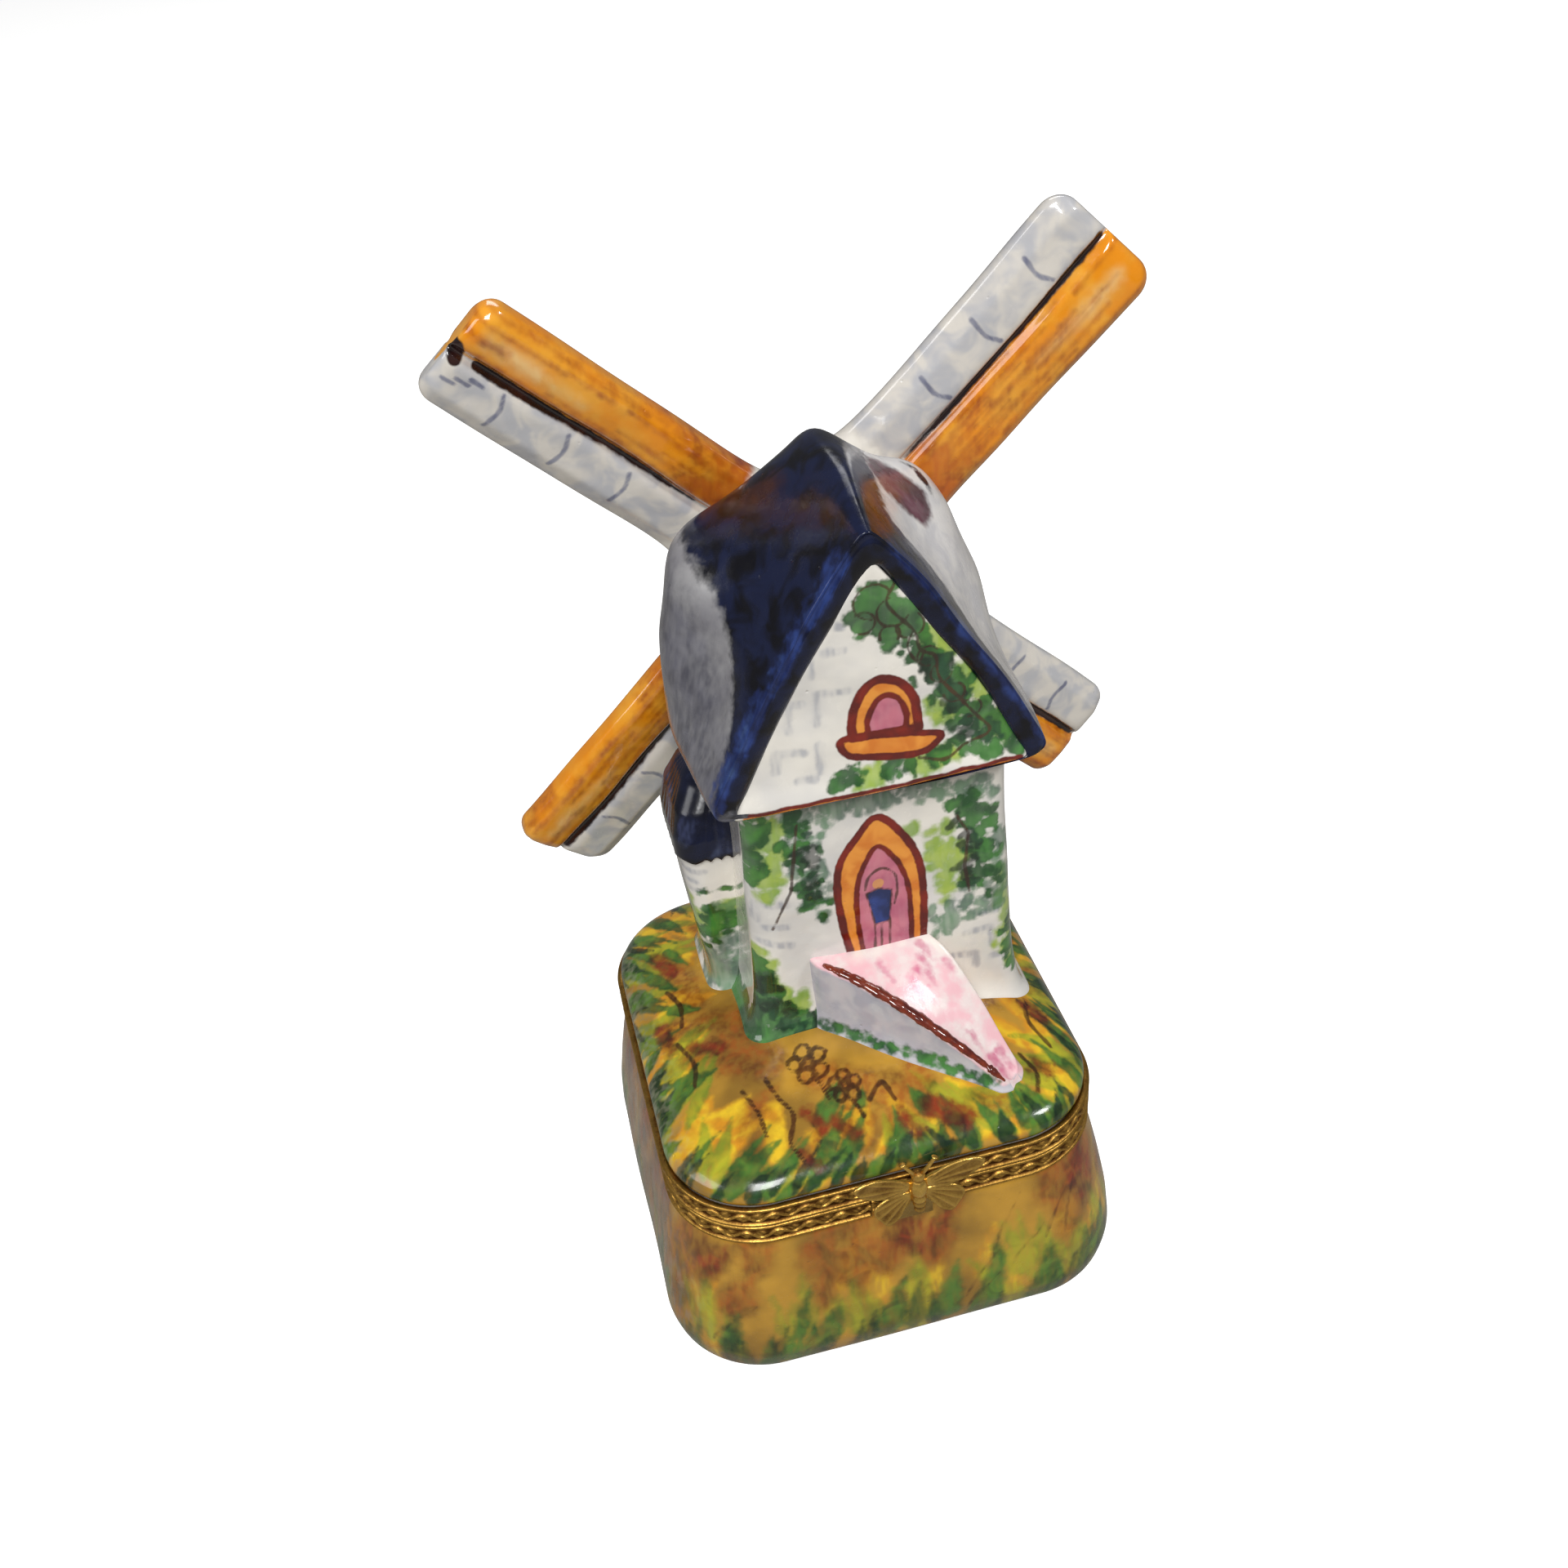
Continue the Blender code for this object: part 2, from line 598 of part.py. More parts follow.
def make_clasp():
    """The springy tongue on the upper collar, with the butterfly that hides it."""
    axis = Vector((0, CLASP_Y - 1.0 * MM, CLASP_AXIS_Z))
    tongue_back = CLASP_Y - 0.85 * MM
    tongue_front = tongue_back - TONGUE_THICKNESS
    foot_z = SEAM_Z - 2.3 * MM
    root_z = SEAM_Z + 1.2 * MM
    top_z = SEAM_Z + COLLAR_HEIGHT
    tongue = place("clasp_tongue",
                   block("clasp_tongue", (-TONGUE_HALF_WIDTH, tongue_front, foot_z),
                         (TONGUE_HALF_WIDTH, tongue_back, top_z)), brass("clasp_tongue"))
    root = block("clasp_root", (-TONGUE_HALF_WIDTH, tongue_front, root_z),
                 (TONGUE_HALF_WIDTH, CLASP_Y - GAP, top_z))
    boolean(tongue, place_cutter("clasp_root", root), "UNION")
    bead_y = CLASP_Y - GAP + 0.1 * MM
    bead_z = SEAM_Z - 1.3 * MM
    bead = rod("catch_bead", (-1.6 * MM, bead_y, bead_z), (1.6 * MM, bead_y, bead_z),
               BEAD_RADIUS, 10)
    place("catch_bead", bead, brass("catch_bead"))

    front_y = tongue_front - GAP
    body = wire_part("butterfly_body",
                     ((0, front_y - 0.62 * MM, 20.4 * MM), (0, front_y - 0.72 * MM, 23.0 * MM),
                      (0, front_y - 0.62 * MM, 25.8 * MM)), 0.6 * MM, brass("butterfly_body"))
    moving = [tongue, body]
    wing_middle = front_y - 0.35 * MM
    for side, word in ((-1, "left"), (1, "right")):
        facing = Matrix.Translation((0, wing_middle, 0)) @ Matrix.Rotation(math.radians(90), 4, "X")
        for level, outline in (("upper", UPPER_WING), ("lower", LOWER_WING)):
            name = f"butterfly_wing_{level}_{word}"
            points = [(side * x * MM, z * MM) for x, z in outline]
            moving.append(outline_part(name, points, 0.6 * MM, facing, brass(name)))
        name = f"butterfly_antenna_{word}"
        feeler = ((side * 0.5 * MM, wing_middle - 0.3 * MM, 26.5 * MM),
                  (side * 1.0 * MM, wing_middle - 0.5 * MM, 27.9 * MM),
                  (side * 1.9 * MM, wing_middle - 0.5 * MM, 29.2 * MM))
        moving.append(wire_part(name, feeler, 0.25 * MM, brass(name), steps=2))
    for part in moving:
        part.data.transform(part.matrix_world)
        part.matrix_world = Matrix.Identity(4)
        if part is not tongue:
            part.data.transform(Matrix.Translation(BUTTERFLY_SHIFT))
        move_origin(part, axis)


def main():
    make_box()
    make_collars()
    make_hinge()
    make_mound()
    clearance = mound_cutter()
    make_tower(clearance)
    make_annex(clearance)
    make_ramp(clearance)
    make_cap()
    make_hub()
    make_sails()
    make_clasp()


main()
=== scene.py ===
import math

import bmesh
import bpy
import numpy as np
from mathutils import Matrix, Vector


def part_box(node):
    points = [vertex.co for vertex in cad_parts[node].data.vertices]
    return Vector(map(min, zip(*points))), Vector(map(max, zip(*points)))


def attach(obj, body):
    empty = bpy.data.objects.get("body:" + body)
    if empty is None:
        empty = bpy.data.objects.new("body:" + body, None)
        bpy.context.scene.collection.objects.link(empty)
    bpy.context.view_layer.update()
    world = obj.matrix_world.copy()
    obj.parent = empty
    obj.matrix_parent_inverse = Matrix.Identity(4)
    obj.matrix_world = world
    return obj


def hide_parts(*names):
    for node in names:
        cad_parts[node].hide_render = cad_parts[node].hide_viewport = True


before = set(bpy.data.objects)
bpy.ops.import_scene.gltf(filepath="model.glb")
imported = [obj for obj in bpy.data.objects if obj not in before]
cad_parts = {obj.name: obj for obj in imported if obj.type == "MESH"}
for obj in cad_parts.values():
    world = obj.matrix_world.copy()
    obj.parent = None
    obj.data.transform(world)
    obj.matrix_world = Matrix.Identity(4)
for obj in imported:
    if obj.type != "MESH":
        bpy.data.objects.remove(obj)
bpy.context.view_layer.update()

mm = 0.001                              # shapes below are drawn in millimetres
fieldReach = 3.0                        # how far outside a painted stroke its distance is kept, in mm


def nodeBox(node):
    low, high = (np.array(corner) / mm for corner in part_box(node))
    return low, high


# shaping tools

def wave(points, size, seed):
    # a smooth uneven value from about -1 to 1 that changes over that size
    dice = np.random.default_rng(seed)
    total = np.zeros(len(points))
    for _ in range(6):
        heading = dice.normal(size=3)
        heading *= 2 * math.pi / (size * np.linalg.norm(heading)) * dice.uniform(0.6, 1.5)
        total += np.sin(points @ heading + dice.uniform(0, 6.3))
    return total / 3


def resample(path, spacing, closed=False):
    # evenly spaced points along a path; its first two numbers set the distance
    path = np.asarray(path, float)
    if closed:
        path = np.vstack([path, path[:1]])
    steps = np.linalg.norm(np.diff(path[:, :2], axis=0), axis=1)
    along = np.concatenate([[0], np.cumsum(steps)])
    count = max(2, int(round(along[-1] / spacing)) + 1)
    places = np.linspace(0, along[-1], count)
    made = np.stack([np.interp(places, along, path[:, k]) for k in range(path.shape[1])], 1)
    return made[:-1] if closed else made


def soften(path, passes, closed=False):
    # rounds the corners of an evenly spaced path
    path = path.copy()
    for _ in range(passes):
        if closed:
            path = (np.roll(path, 1, 0) + 2 * path + np.roll(path, -1, 0)) / 4
        else:
            path[1:-1] = (path[:-2] + 2 * path[1:-1] + path[2:]) / 4
    return path


def curveThrough(points, steps, closed=False):
    # a smooth curve through its points
    points = np.asarray(points, float)
    if closed:
        padded = np.vstack([points[-1], points, points[:2]])
    else:
        padded = np.vstack([2 * points[0] - points[1], points, 2 * points[-1] - points[-2]])
    made = []
    for span in range(len(padded) - 3):
        a, b, c, d = padded[span:span + 4]
        for t in np.arange(steps) / steps:
            made.append(0.5 * (2 * b + (c - a) * t + (2 * a - 5 * b + 4 * c - d) * t * t
                               + (3 * b - a - 3 * c + d) * t ** 3))
    if not closed:
        made.append(points[-1])
    return np.array(made)


def squareLoop(width, depth, radius, centre=(0.0, 0.0), straight=(60, 60, 60, 60), corner=40):
    # anticlockwise from the front right corner; the straights are right, back, left and front
    loop = []
    for quarter, (sideX, sideY) in enumerate(((1, -1), (1, 1), (-1, 1), (-1, -1))):
        middle = (centre[0] + sideX * (width / 2 - radius), centre[1] + sideY * (depth / 2 - radius))
        angles = np.radians(90 * (quarter - 1 + np.arange(corner + 1) / corner))
        loop.append(np.stack([middle[0] + radius * np.cos(angles), middle[1] + radius * np.sin(angles)], 1))
    made = []
    for quarter in range(4):
        start, end = loop[quarter][-1], loop[(quarter + 1) % 4][0]
        share = (np.arange(1, straight[quarter]) / straight[quarter])[:, None]
        made += [loop[quarter], start + (end - start) * share]
    return np.vstack(made)


def gridFaces(rows, columns, closed=True):
    row = np.arange(rows - 1)[:, None]
    column = np.arange(columns if closed else columns - 1)[None, :]
    near = row * columns + column
    far = row * columns + (column + 1) % columns
    return np.stack([near, far, far + columns, near + columns], -1).reshape(-1, 4)


def loftSolid(rings):
    # skins a stack of loops and closes both ends with a fan
    rows, columns = rings.shape[:2]
    points = np.vstack([rings.reshape(-1, 3), rings[0].mean(0), rings[-1].mean(0)])
    faces = gridFaces(rows, columns).tolist()
    first, last, turn = rows * columns, rows * columns + 1, (rows - 1) * columns
    for k in range(columns):
        after = (k + 1) % columns
        faces.append((after, k, first))
        faces.append((turn + k, turn + after, last))
    return points, faces


def loftTube(rings):
    # skins a stack of loops and joins the last to the first
    rows, columns = rings.shape[:2]
    faces = gridFaces(rows + 1, columns) % (rows * columns)
    return rings.reshape(-1, 3), faces.tolist()


def makePiece(name, shape, material, body, nodes, fields=None):
    points, faces = shape
    mesh = bpy.data.meshes.new(name)
    mesh.from_pydata((points * mm).tolist(), [], faces)
    work = bmesh.new()
    work.from_mesh(mesh)
    bmesh.ops.recalc_face_normals(work, faces=work.faces)
    work.to_mesh(mesh)
    work.free()
    mesh.shade_smooth()
    for field, values in (fields or {}).items():
        # the points that close a loft's ends carry no paint
        ends = np.full(len(points) - len(values), -1.0 if field == "bare" else fieldReach)
        layer = mesh.attributes.new(field, "FLOAT", "POINT")
        layer.data.foreach_set("value", np.append(values, ends).astype(np.float32))
    mesh.materials.append(material)
    piece = bpy.data.objects.new(name, mesh)
    bpy.context.scene.collection.objects.link(piece)
    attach(piece, body)
    if nodes:
        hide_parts(*nodes)
    print("made", name, len(points), "points")
    return piece


# painting tools: a field holds how far each point is outside a painted stroke, in mm

def strokeGap(points, path, width):
    path = np.atleast_2d(np.asarray(path, float))
    width = np.broadcast_to(np.asarray(width, float), len(path))
    if len(path) == 1:
        return np.linalg.norm(points - path[0], axis=1) - width[0]
    gap = np.full(len(points), 99.0)
    for start, end, wide, narrow in zip(path, path[1:], width, width[1:]):
        along = end - start
        t = np.clip((points - start) @ along / max(along @ along, 1e-9), 0, 1)
        away = np.linalg.norm(points - start - t[:, None] * along, axis=1)
        gap = np.minimum(gap, away - (wide + (narrow - wide) * t))
    return gap


def strokeField(points, strokes):
    field = np.full(len(points), fieldReach)
    for path, width in strokes:
        path = np.atleast_2d(np.asarray(path, float))
        margin = fieldReach + np.max(width)
        near = np.where(((points > path.min(0) - margin) & (points < path.max(0) + margin)).all(1))[0]
        if len(near):
            field[near] = np.minimum(field[near], strokeGap(points[near], path, width))
    return field


def fillGap(points, outline):
    # less than nothing inside a closed flat outline
    outline = np.asarray(outline, float)
    edge = strokeGap(points, np.vstack([outline, outline[:1]]), 0.0)
    inside = np.zeros(len(points), bool)
    for (x0, z0), (x1, z1) in zip(outline, np.roll(outline, -1, 0)):
        crosses = (z0 > points[:, 1]) != (z1 > points[:, 1])
        with np.errstate(divide="ignore", invalid="ignore"):
            reach = x0 + (points[:, 1] - z0) * (x1 - x0) / (z1 - z0)
        inside ^= crosses & (points[:, 0] < reach)
    return np.where(inside, -edge, edge)


def dabs(path, count, size, spread, seed):
    # small round dabs of the brush scattered along a path
    dice = np.random.default_rng(seed)
    line = curveThrough(path, 12)
    made = []
    for _ in range(count):
        spot = line[dice.integers(len(line))] + dice.normal(0, spread, 2)
        lean = dice.normal(0, 0.45, 2)
        made.append((np.array([spot, spot + lean]), size * dice.uniform(0.6, 1.3)))
    return made


# finishes

def put(tree, kind, sockets=None, **settings):
    node = tree.nodes.new("ShaderNode" + kind)
    for key, value in settings.items():
        setattr(node, key, value)
    for key, value in (sockets or {}).items():
        if isinstance(value, bpy.types.NodeSocket):
            tree.links.new(value, node.inputs[key])
        else:
            node.inputs[key].default_value = value
    return node


def calc(tree, operation, first, second=0.0, clamp=False):
    return put(tree, "Math", {0: first, 1: second}, operation=operation, use_clamp=clamp).outputs[0]


def mixColour(tree, share, first, second):
    return put(tree, "Mix", {0: share, 6: first, 7: second}, data_type="RGBA").outputs[2]


def spread(tree, value, low, high, toLow=0.0, toHigh=1.0, kind="SMOOTHSTEP"):
    sockets = {"Value": value, "From Min": low, "From Max": high, "To Min": toLow, "To Max": toHigh}
    return put(tree, "MapRange", sockets, interpolation_type=kind).outputs["Result"]


def grainy(tree, place, scale, detail=2.0, stretch=None, distortion=0.0):
    if stretch:
        place = put(tree, "Mapping", {"Vector": place, "Scale": stretch}).outputs[0]
    sockets = {"Vector": place, "Scale": scale, "Detail": detail, "Distortion": distortion}
    return put(tree, "TexNoise", sockets).outputs[0]


def colour(red, green, blue):
    return (red, green, blue, 1.0)


def newGroup(name, takes, gives):
    group = bpy.data.node_groups.new(name, "ShaderNodeTree")
    for socket, kind, value in takes:
        made = group.interface.new_socket(socket, in_out="INPUT", socket_type="NodeSocket" + kind)
        if value is not None:
            made.default_value = value
    for socket, kind in gives:
        group.interface.new_socket(socket, in_out="OUTPUT", socket_type="NodeSocket" + kind)
    return group, group.nodes.new("NodeGroupInput").outputs, group.nodes.new("NodeGroupOutput").inputs


def makeBrushedPaint():
    # one colour of glaze paint, thin to thick, laid over what is under it
    takes = (("Under", "Color", None), ("Thin", "Color", None), ("Thick", "Color", None),
             ("Gap", "Float", 1.0), ("Edge", "Float", 0.2), ("Ragged", "Float", 0.3),
             ("Cover", "Float", 0.9), ("Place", "Vector", None))
    group, given, made = newGroup("brushedPaint", takes, (("Colour", "Color"),))
    place = given["Place"]
    rough = grainy(group, place, 0.9, 2.0)
    ragged = calc(group, "MULTIPLY", calc(group, "SUBTRACT", rough, 0.5), given["Ragged"])
    gap = calc(group, "ADD", given["Gap"], calc(group, "MULTIPLY", ragged, 3.0))
    soft = calc(group, "MULTIPLY", given["Edge"], -1.0)
    mask = spread(group, gap, soft, given["Edge"], 1.0, 0.0)
    pool = spread(group, grainy(group, place, 0.34, 2.0, distortion=0.6), 0.36, 0.66)
    rim = spread(group, gap, -0.6, 0.0, 0.0, 0.3)
    thick = calc(group, "ADD", pool, rim, clamp=True)
    paint = mixColour(group, thick, given["Thin"], given["Thick"])
    bristle = spread(group, grainy(group, place, 1.0, 1.0, stretch=(1.3, 1.3, 0.35)), 0.3, 0.7, 1.2, 0.0)
    bare = calc(group, "MULTIPLY", calc(group, "SUBTRACT", 1.0, given["Cover"]), bristle)
    cover = calc(group, "SUBTRACT", given["Cover"], bare, clamp=True)
    cover = calc(group, "MULTIPLY", mask, cover, clamp=True)
    group.links.new(mixColour(group, cover, given["Under"], paint), made["Colour"])
    return group


def makeGlazeSkin():
    # the unevenness of hand-dipped glaze, with a few pinholes
    takes = (("Place", "Vector", None), ("Uneven", "Float", 1.0))
    group, given, made = newGroup("glazeSkin", takes, (("Height", "Float"), ("Roughness", "Float")))
    place = given["Place"]
    slow = calc(group, "MULTIPLY", grainy(group, place, 0.16, 2.0), given["Uneven"])
    fine = calc(group, "MULTIPLY", grainy(group, place, 0.9, 2.0), 0.12)
    hole = put(group, "TexVoronoi", {"Vector": place, "Scale": 0.35, "Randomness": 1.0}).outputs[0]
    pit = spread(group, hole, 0.0, 0.07, -0.2, 0.0)
    height = calc(group, "ADD", calc(group, "ADD", slow, fine), pit)
    group.links.new(height, made["Height"])
    group.links.new(spread(group, grainy(group, place, 0.5, 3.0), 0.3, 0.75, 0.16, 0.30), made["Roughness"])
    return group


def makeWornBrass():
    # old brass: bright where it is rubbed, brown in the hollows
    takes = (("Bright", "Color", None), ("Brown", "Color", None), ("Hollow", "Float", 0.0),
             ("Place", "Vector", None))
    gives = (("Colour", "Color"), ("Roughness", "Float"), ("Height", "Float"))
    group, given, made = newGroup("wornBrass", takes, gives)
    place = given["Place"]
    cloud = spread(group, grainy(group, place, 0.55, 4.0, distortion=0.5), 0.35, 0.7)
    fleck = spread(group, grainy(group, place, 4.5, 3.0), 0.42, 0.62)
    dirt = calc(group, "ADD", given["Hollow"], calc(group, "MULTIPLY", cloud, 0.32))
    dirt = calc(group, "ADD", dirt, calc(group, "MULTIPLY", fleck, 0.12), clamp=True)
    group.links.new(mixColour(group, dirt, given["Bright"], given["Brown"]), made["Colour"])
    group.links.new(spread(group, dirt, 0.0, 1.0, 0.24, 0.55, "LINEAR"), made["Roughness"])
    group.links.new(grainy(group, place, 3.2, 4.0), made["Height"])
    return group


brushedPaint = makeBrushedPaint()
glazeSkin = makeGlazeSkin()
wornBrass = makeWornBrass()


def startMaterial(name, viewColour):
    material = bpy.data.materials.new(name)
    material.use_nodes = True
    material.diffuse_color = viewColour
    tree = material.node_tree
    shader = tree.nodes["Principled BSDF"]
    scale = put(tree, "VectorMath", {0: put(tree, "TexCoord").outputs["Object"], "Scale": 1 / mm},
                operation="SCALE")
    return material, tree, shader, scale.outputs[0]


def glazed(name, ground, shade, layers=(), uneven=1.0, mottle=(0.12, 3.0), coat=1.0,
           sheen=0.04):
    # a painted and glazed finish; each layer is field, thin colour, thick colour, edge, ragged, cover
    material, tree, shader, place = startMaterial(name, ground)
    cloud = spread(tree, grainy(tree, place, *mottle), 0.35, 0.68)
    under = mixColour(tree, cloud, ground, shade)
    for field, thin, thick, edge, ragged, cover in layers:
        gap = put(tree, "Attribute", attribute_name=field).outputs["Fac"]
        layer = put(tree, "Group", node_tree=brushedPaint)
        for key, value in (("Under", under), ("Gap", gap), ("Place", place)):
            tree.links.new(value, layer.inputs[key])
        for key, value in (("Thin", thin), ("Thick", thick), ("Edge", edge), ("Ragged", ragged),
                           ("Cover", cover)):
            layer.inputs[key].default_value = value
        under = layer.outputs["Colour"]
    tree.links.new(under, shader.inputs["Base Color"])
    skin = put(tree, "Group", {"Place": place, "Uneven": uneven}, node_tree=glazeSkin)
    tree.links.new(skin.outputs["Roughness"], shader.inputs["Roughness"])
    bump = put(tree, "Bump", {"Height": skin.outputs["Height"], "Strength": 0.5, "Distance": 0.6 * mm})
    tree.links.new(bump.outputs[0], shader.inputs["Normal"])
    shader.inputs["IOR"].default_value = 1.52
    shader.inputs["Specular IOR Level"].default_value = 0.25
    shader.inputs["Coat Weight"].default_value = coat
    shader.inputs["Coat Roughness"].default_value = sheen
    return material


def coats(look, **finishes):
    # layers of paint in order; each finish is edge, ragged and cover
    return [(field, *look[field], *finish) for field, finish in finishes.items()]


def brassy(name, bright, brown, field=None):
    material, tree, shader, place = startMaterial(name, bright)
    metal = put(tree, "Group", {"Bright": bright, "Brown": brown, "Place": place}, node_tree=wornBrass)
    if field:
        tree.links.new(put(tree, "Attribute", attribute_name=field).outputs["Fac"], metal.inputs["Hollow"])
    tree.links.new(metal.outputs["Colour"], shader.inputs["Base Color"])
    tree.links.new(metal.outputs["Roughness"], shader.inputs["Roughness"])
    bump = put(tree, "Bump", {"Height": metal.outputs["Height"], "Strength": 0.35, "Distance": 0.12 * mm})
    tree.links.new(bump.outputs[0], shader.inputs["Normal"])
    shader.inputs["Metallic"].default_value = 1.0
    return material


# box and mound

meadowLook = {
    "ground": colour(0.52, 0.28, 0.035), "shade": colour(0.26, 0.14, 0.022),
    "yellow": (colour(0.90, 0.60, 0.025), colour(0.72, 0.30, 0.015)),
    "lime": (colour(0.36, 0.40, 0.025), colour(0.16, 0.24, 0.02)),
    "leaf": (colour(0.060, 0.20, 0.030), colour(0.015, 0.075, 0.018)),
    "deep": (colour(0.020, 0.060, 0.020), colour(0.006, 0.018, 0.010)),
    "rust": (colour(0.34, 0.075, 0.012), colour(0.10, 0.018, 0.006)),
    "wine": (colour(0.24, 0.020, 0.010), colour(0.07, 0.008, 0.006)),
    # painted light: a grey-green wash for the left sides, shade on the box and sheen on the mound
    "sky": (colour(0.34, 0.33, 0.22), colour(0.22, 0.22, 0.13)),
    "line": (colour(0.07, 0.018, 0.006), colour(0.025, 0.008, 0.004)),
    "bare": (colour(0.74, 0.70, 0.62), colour(0.66, 0.62, 0.55)),
}

boxPlan = {
    "rows": (  # half width, height, corner radius, from the middle of the foot round to the floor inside
        (0.3, 0.5, 0.2), (19.6, 0.5, 7.4), (20.6, 0.0, 8.2), (22.6, 0.0, 8.8), (23.9, 0.3, 9.6),
        (25.2, 1.6, 10.4), (25.8, 4.2, 11.0), (25.5, 8.5, 11.0), (24.7, 13.5, 10.8), (23.95, 17.5, 10.6),
        (23.1, 20.3, 10.0), (22.4, 20.6, 9.3), (22.4, 22.2, 9.2), (19.7, 22.2, 8.2), (19.7, 18.0, 8.2),
        (20.9, 12.0, 8.8), (20.9, 6.0, 8.8), (19.5, 3.6, 7.8), (17.5, 2.8, 6.0), (0.3, 2.8, 0.2),
    ),
    "spacing": 0.42, "corner": 52, "side": 72, "swell": 0.10, "widest": 21.5, "rim": 20.9,
}
moundPlan = {
    "rows": (  # from the hollow underneath round to the top
        (0.3, 30.2, 0.2), (7.0, 30.2, 3.0), (11.5, 29.2, 6.0), (15.0, 27.8, 7.6), (18.0, 26.2, 8.1),
        (19.6, 25.0, 8.2), (19.7, 24.2, 8.2), (22.4, 24.2, 9.2), (22.4, 25.7, 9.2), (23.1, 26.0, 10.0),
        (23.05, 27.2, 10.2), (22.2, 28.2, 10.4), (20.2, 29.3, 10.6), (17.6, 30.4, 10.2),
        (14.4, 31.6, 9.4), (10.7, 32.7, 8.0), (6.3, 33.5, 5.0), (0.3, 33.8, 0.2),
    ),
    "spacing": 0.33, "corner": 56, "side": 84, "rim": 22.45,
}
moundTop = moundPlan["rows"][9:]


def squareRings(plan):
    profile = soften(resample(plan["rows"], plan["spacing"]), 3)
    rings = []
    for half, height, radius in profile:
        loop = squareLoop(2 * half, 2 * half, min(radius, half), straight=(plan["side"],) * 4,
                          corner=plan["corner"])
        rings.append(np.column_stack([loop, np.full(len(loop), height)]))
    return np.array(rings)


def moundHeight(x, y):
    # height of the mound's outer face under or over each point
    def outside(row):
        half, _, radius = row
        dx, dy = np.abs(x) - half + radius, np.abs(y) - half + radius
        return np.hypot(np.maximum(dx, 0), np.maximum(dy, 0)) + np.minimum(np.maximum(dx, dy), 0) - radius

    height = np.full(np.shape(x), moundTop[0][1], float)
    below = outside(moundTop[0])
    for lower, upper in zip(moundTop, moundTop[1:]):
        above = outside(upper)
        here = (below <= 0) & (above > 0)
        share = np.clip(below / (below - above - 1e-9), 0, 1)
        height = np.where(here, lower[1] + (upper[1] - lower[1]) * share, height)
        height = np.where(above <= 0, upper[1], height)
        below = above
    return height


def bladeRows(rings, low, high, count, seed, tall, width, lean=0.0, sector=(0.0, 1.0)):
    # single tapering leaves, drawn up to a point; low and high are shares of the rings, the rest is in mm
    dice = np.random.default_rng(seed)
    rows, columns = rings.shape[:2]
    climb = np.linalg.norm(np.diff(rings[:, 0], axis=0), axis=1).mean()
    girth = np.linalg.norm(np.diff(rings[rows // 2], axis=0), axis=1).mean()
    made = []
    for _ in range(count):
        column = int(dice.uniform(*sector) * columns)
        row = int(dice.uniform(low, high) * rows)
        reach = dice.uniform(*tall) / climb
        drift = dice.normal(lean, 0.7) / girth
        path = [rings[int(np.clip(row + reach * step, 0, rows - 1)),
                      int(column + drift * step ** 1.4) % columns]
                for step in np.linspace(0, 1, 6)]
        made.append((np.array(path), np.array([0.45, 0.9, 1.0, 0.8, 0.45, 0.1]) * dice.uniform(*width)))
    return made


def makeBox():
    plan = boxPlan
    rings = squareRings(plan)
    widest = np.abs(rings[:, :, :2]).max((1, 2))
    tops = rings[:, :, 2].max(1)
    outside = (widest > plan["widest"]) & (np.arange(len(rings)) < len(rings) * 0.62)
    shown = np.where(outside & (tops < plan["rim"]) & (tops > 0.05))[0]
    flat = rings.reshape(-1, 3)
    swell = wave(flat, 26, 5) * plan["swell"]
    outward = flat * (1, 1, 0) / np.maximum(np.linalg.norm(flat[:, :2], axis=1), 1)[:, None]
    painted = np.zeros(rings.shape[:2], bool)
    painted[shown] = True
    painted = painted.ravel()
    flat[painted] += (outward * swell[:, None])[painted]
    walls = rings[shown[0]:shown[-1] + 1]
    fields = {
        "yellow": bladeRows(walls, 0.05, 0.62, 70, 11, (5, 10), (0.9, 1.9), 1.5),
        "lime": bladeRows(walls, 0.0, 0.5, 90, 12, (5, 10), (0.7, 1.4), -1.5),
        "rust": bladeRows(walls, 0.5, 0.9, 80, 15, (4, 8), (1.2, 2.6), 3.0)
        + bladeRows(walls, 0.1, 0.8, 26, 18, (5, 11), (1.2, 2.6), 0.0, (0.62, 0.80)),
        "leaf": bladeRows(walls, 0.0, 0.34, 90, 13, (4.5, 9.5), (0.8, 1.6), 1.4),
        "deep": bladeRows(walls, 0.0, 0.24, 64, 14, (3, 8), (0.6, 1.2), 1.4),
        "wine": bladeRows(walls, 0.62, 0.95, 26, 19, (2, 5), (0.9, 2.0), 3.0),
        "line": bladeRows(walls, 0.2, 0.6, 20, 16, (4, 8), (0.16, 0.24), 4.0),
    }
    fields = {name: strokeField(flat, strokes) for name, strokes in fields.items()}
    # painted shade: the box's left wall is washed grey-green
    fields["sky"] = flat[:, 0] + 23.2 + 0.06 * np.abs(flat[:, 2] - 10)
    fields["bare"] = np.where(painted, 1.0, -1.0)
    look = meadowLook
    layers = coats(look, yellow=(0.8, 0.35, 0.6), lime=(0.6, 0.35, 0.75), rust=(1.0, 0.35, 0.75),
                   leaf=(0.55, 0.3, 0.85), deep=(0.5, 0.3, 0.8), wine=(0.9, 0.3, 0.75),
                   sky=(2.4, 0.8, 0.45), line=(0.18, 0.1, 0.6), bare=(0.3, 0.1, 1.0))
    material = glazed("boxGlaze", look["ground"], look["shade"], layers, coat=0.5, sheen=0.12)
    makePiece("paintedBox", loftSolid(rings), material, "box", ["base_box"], fields)


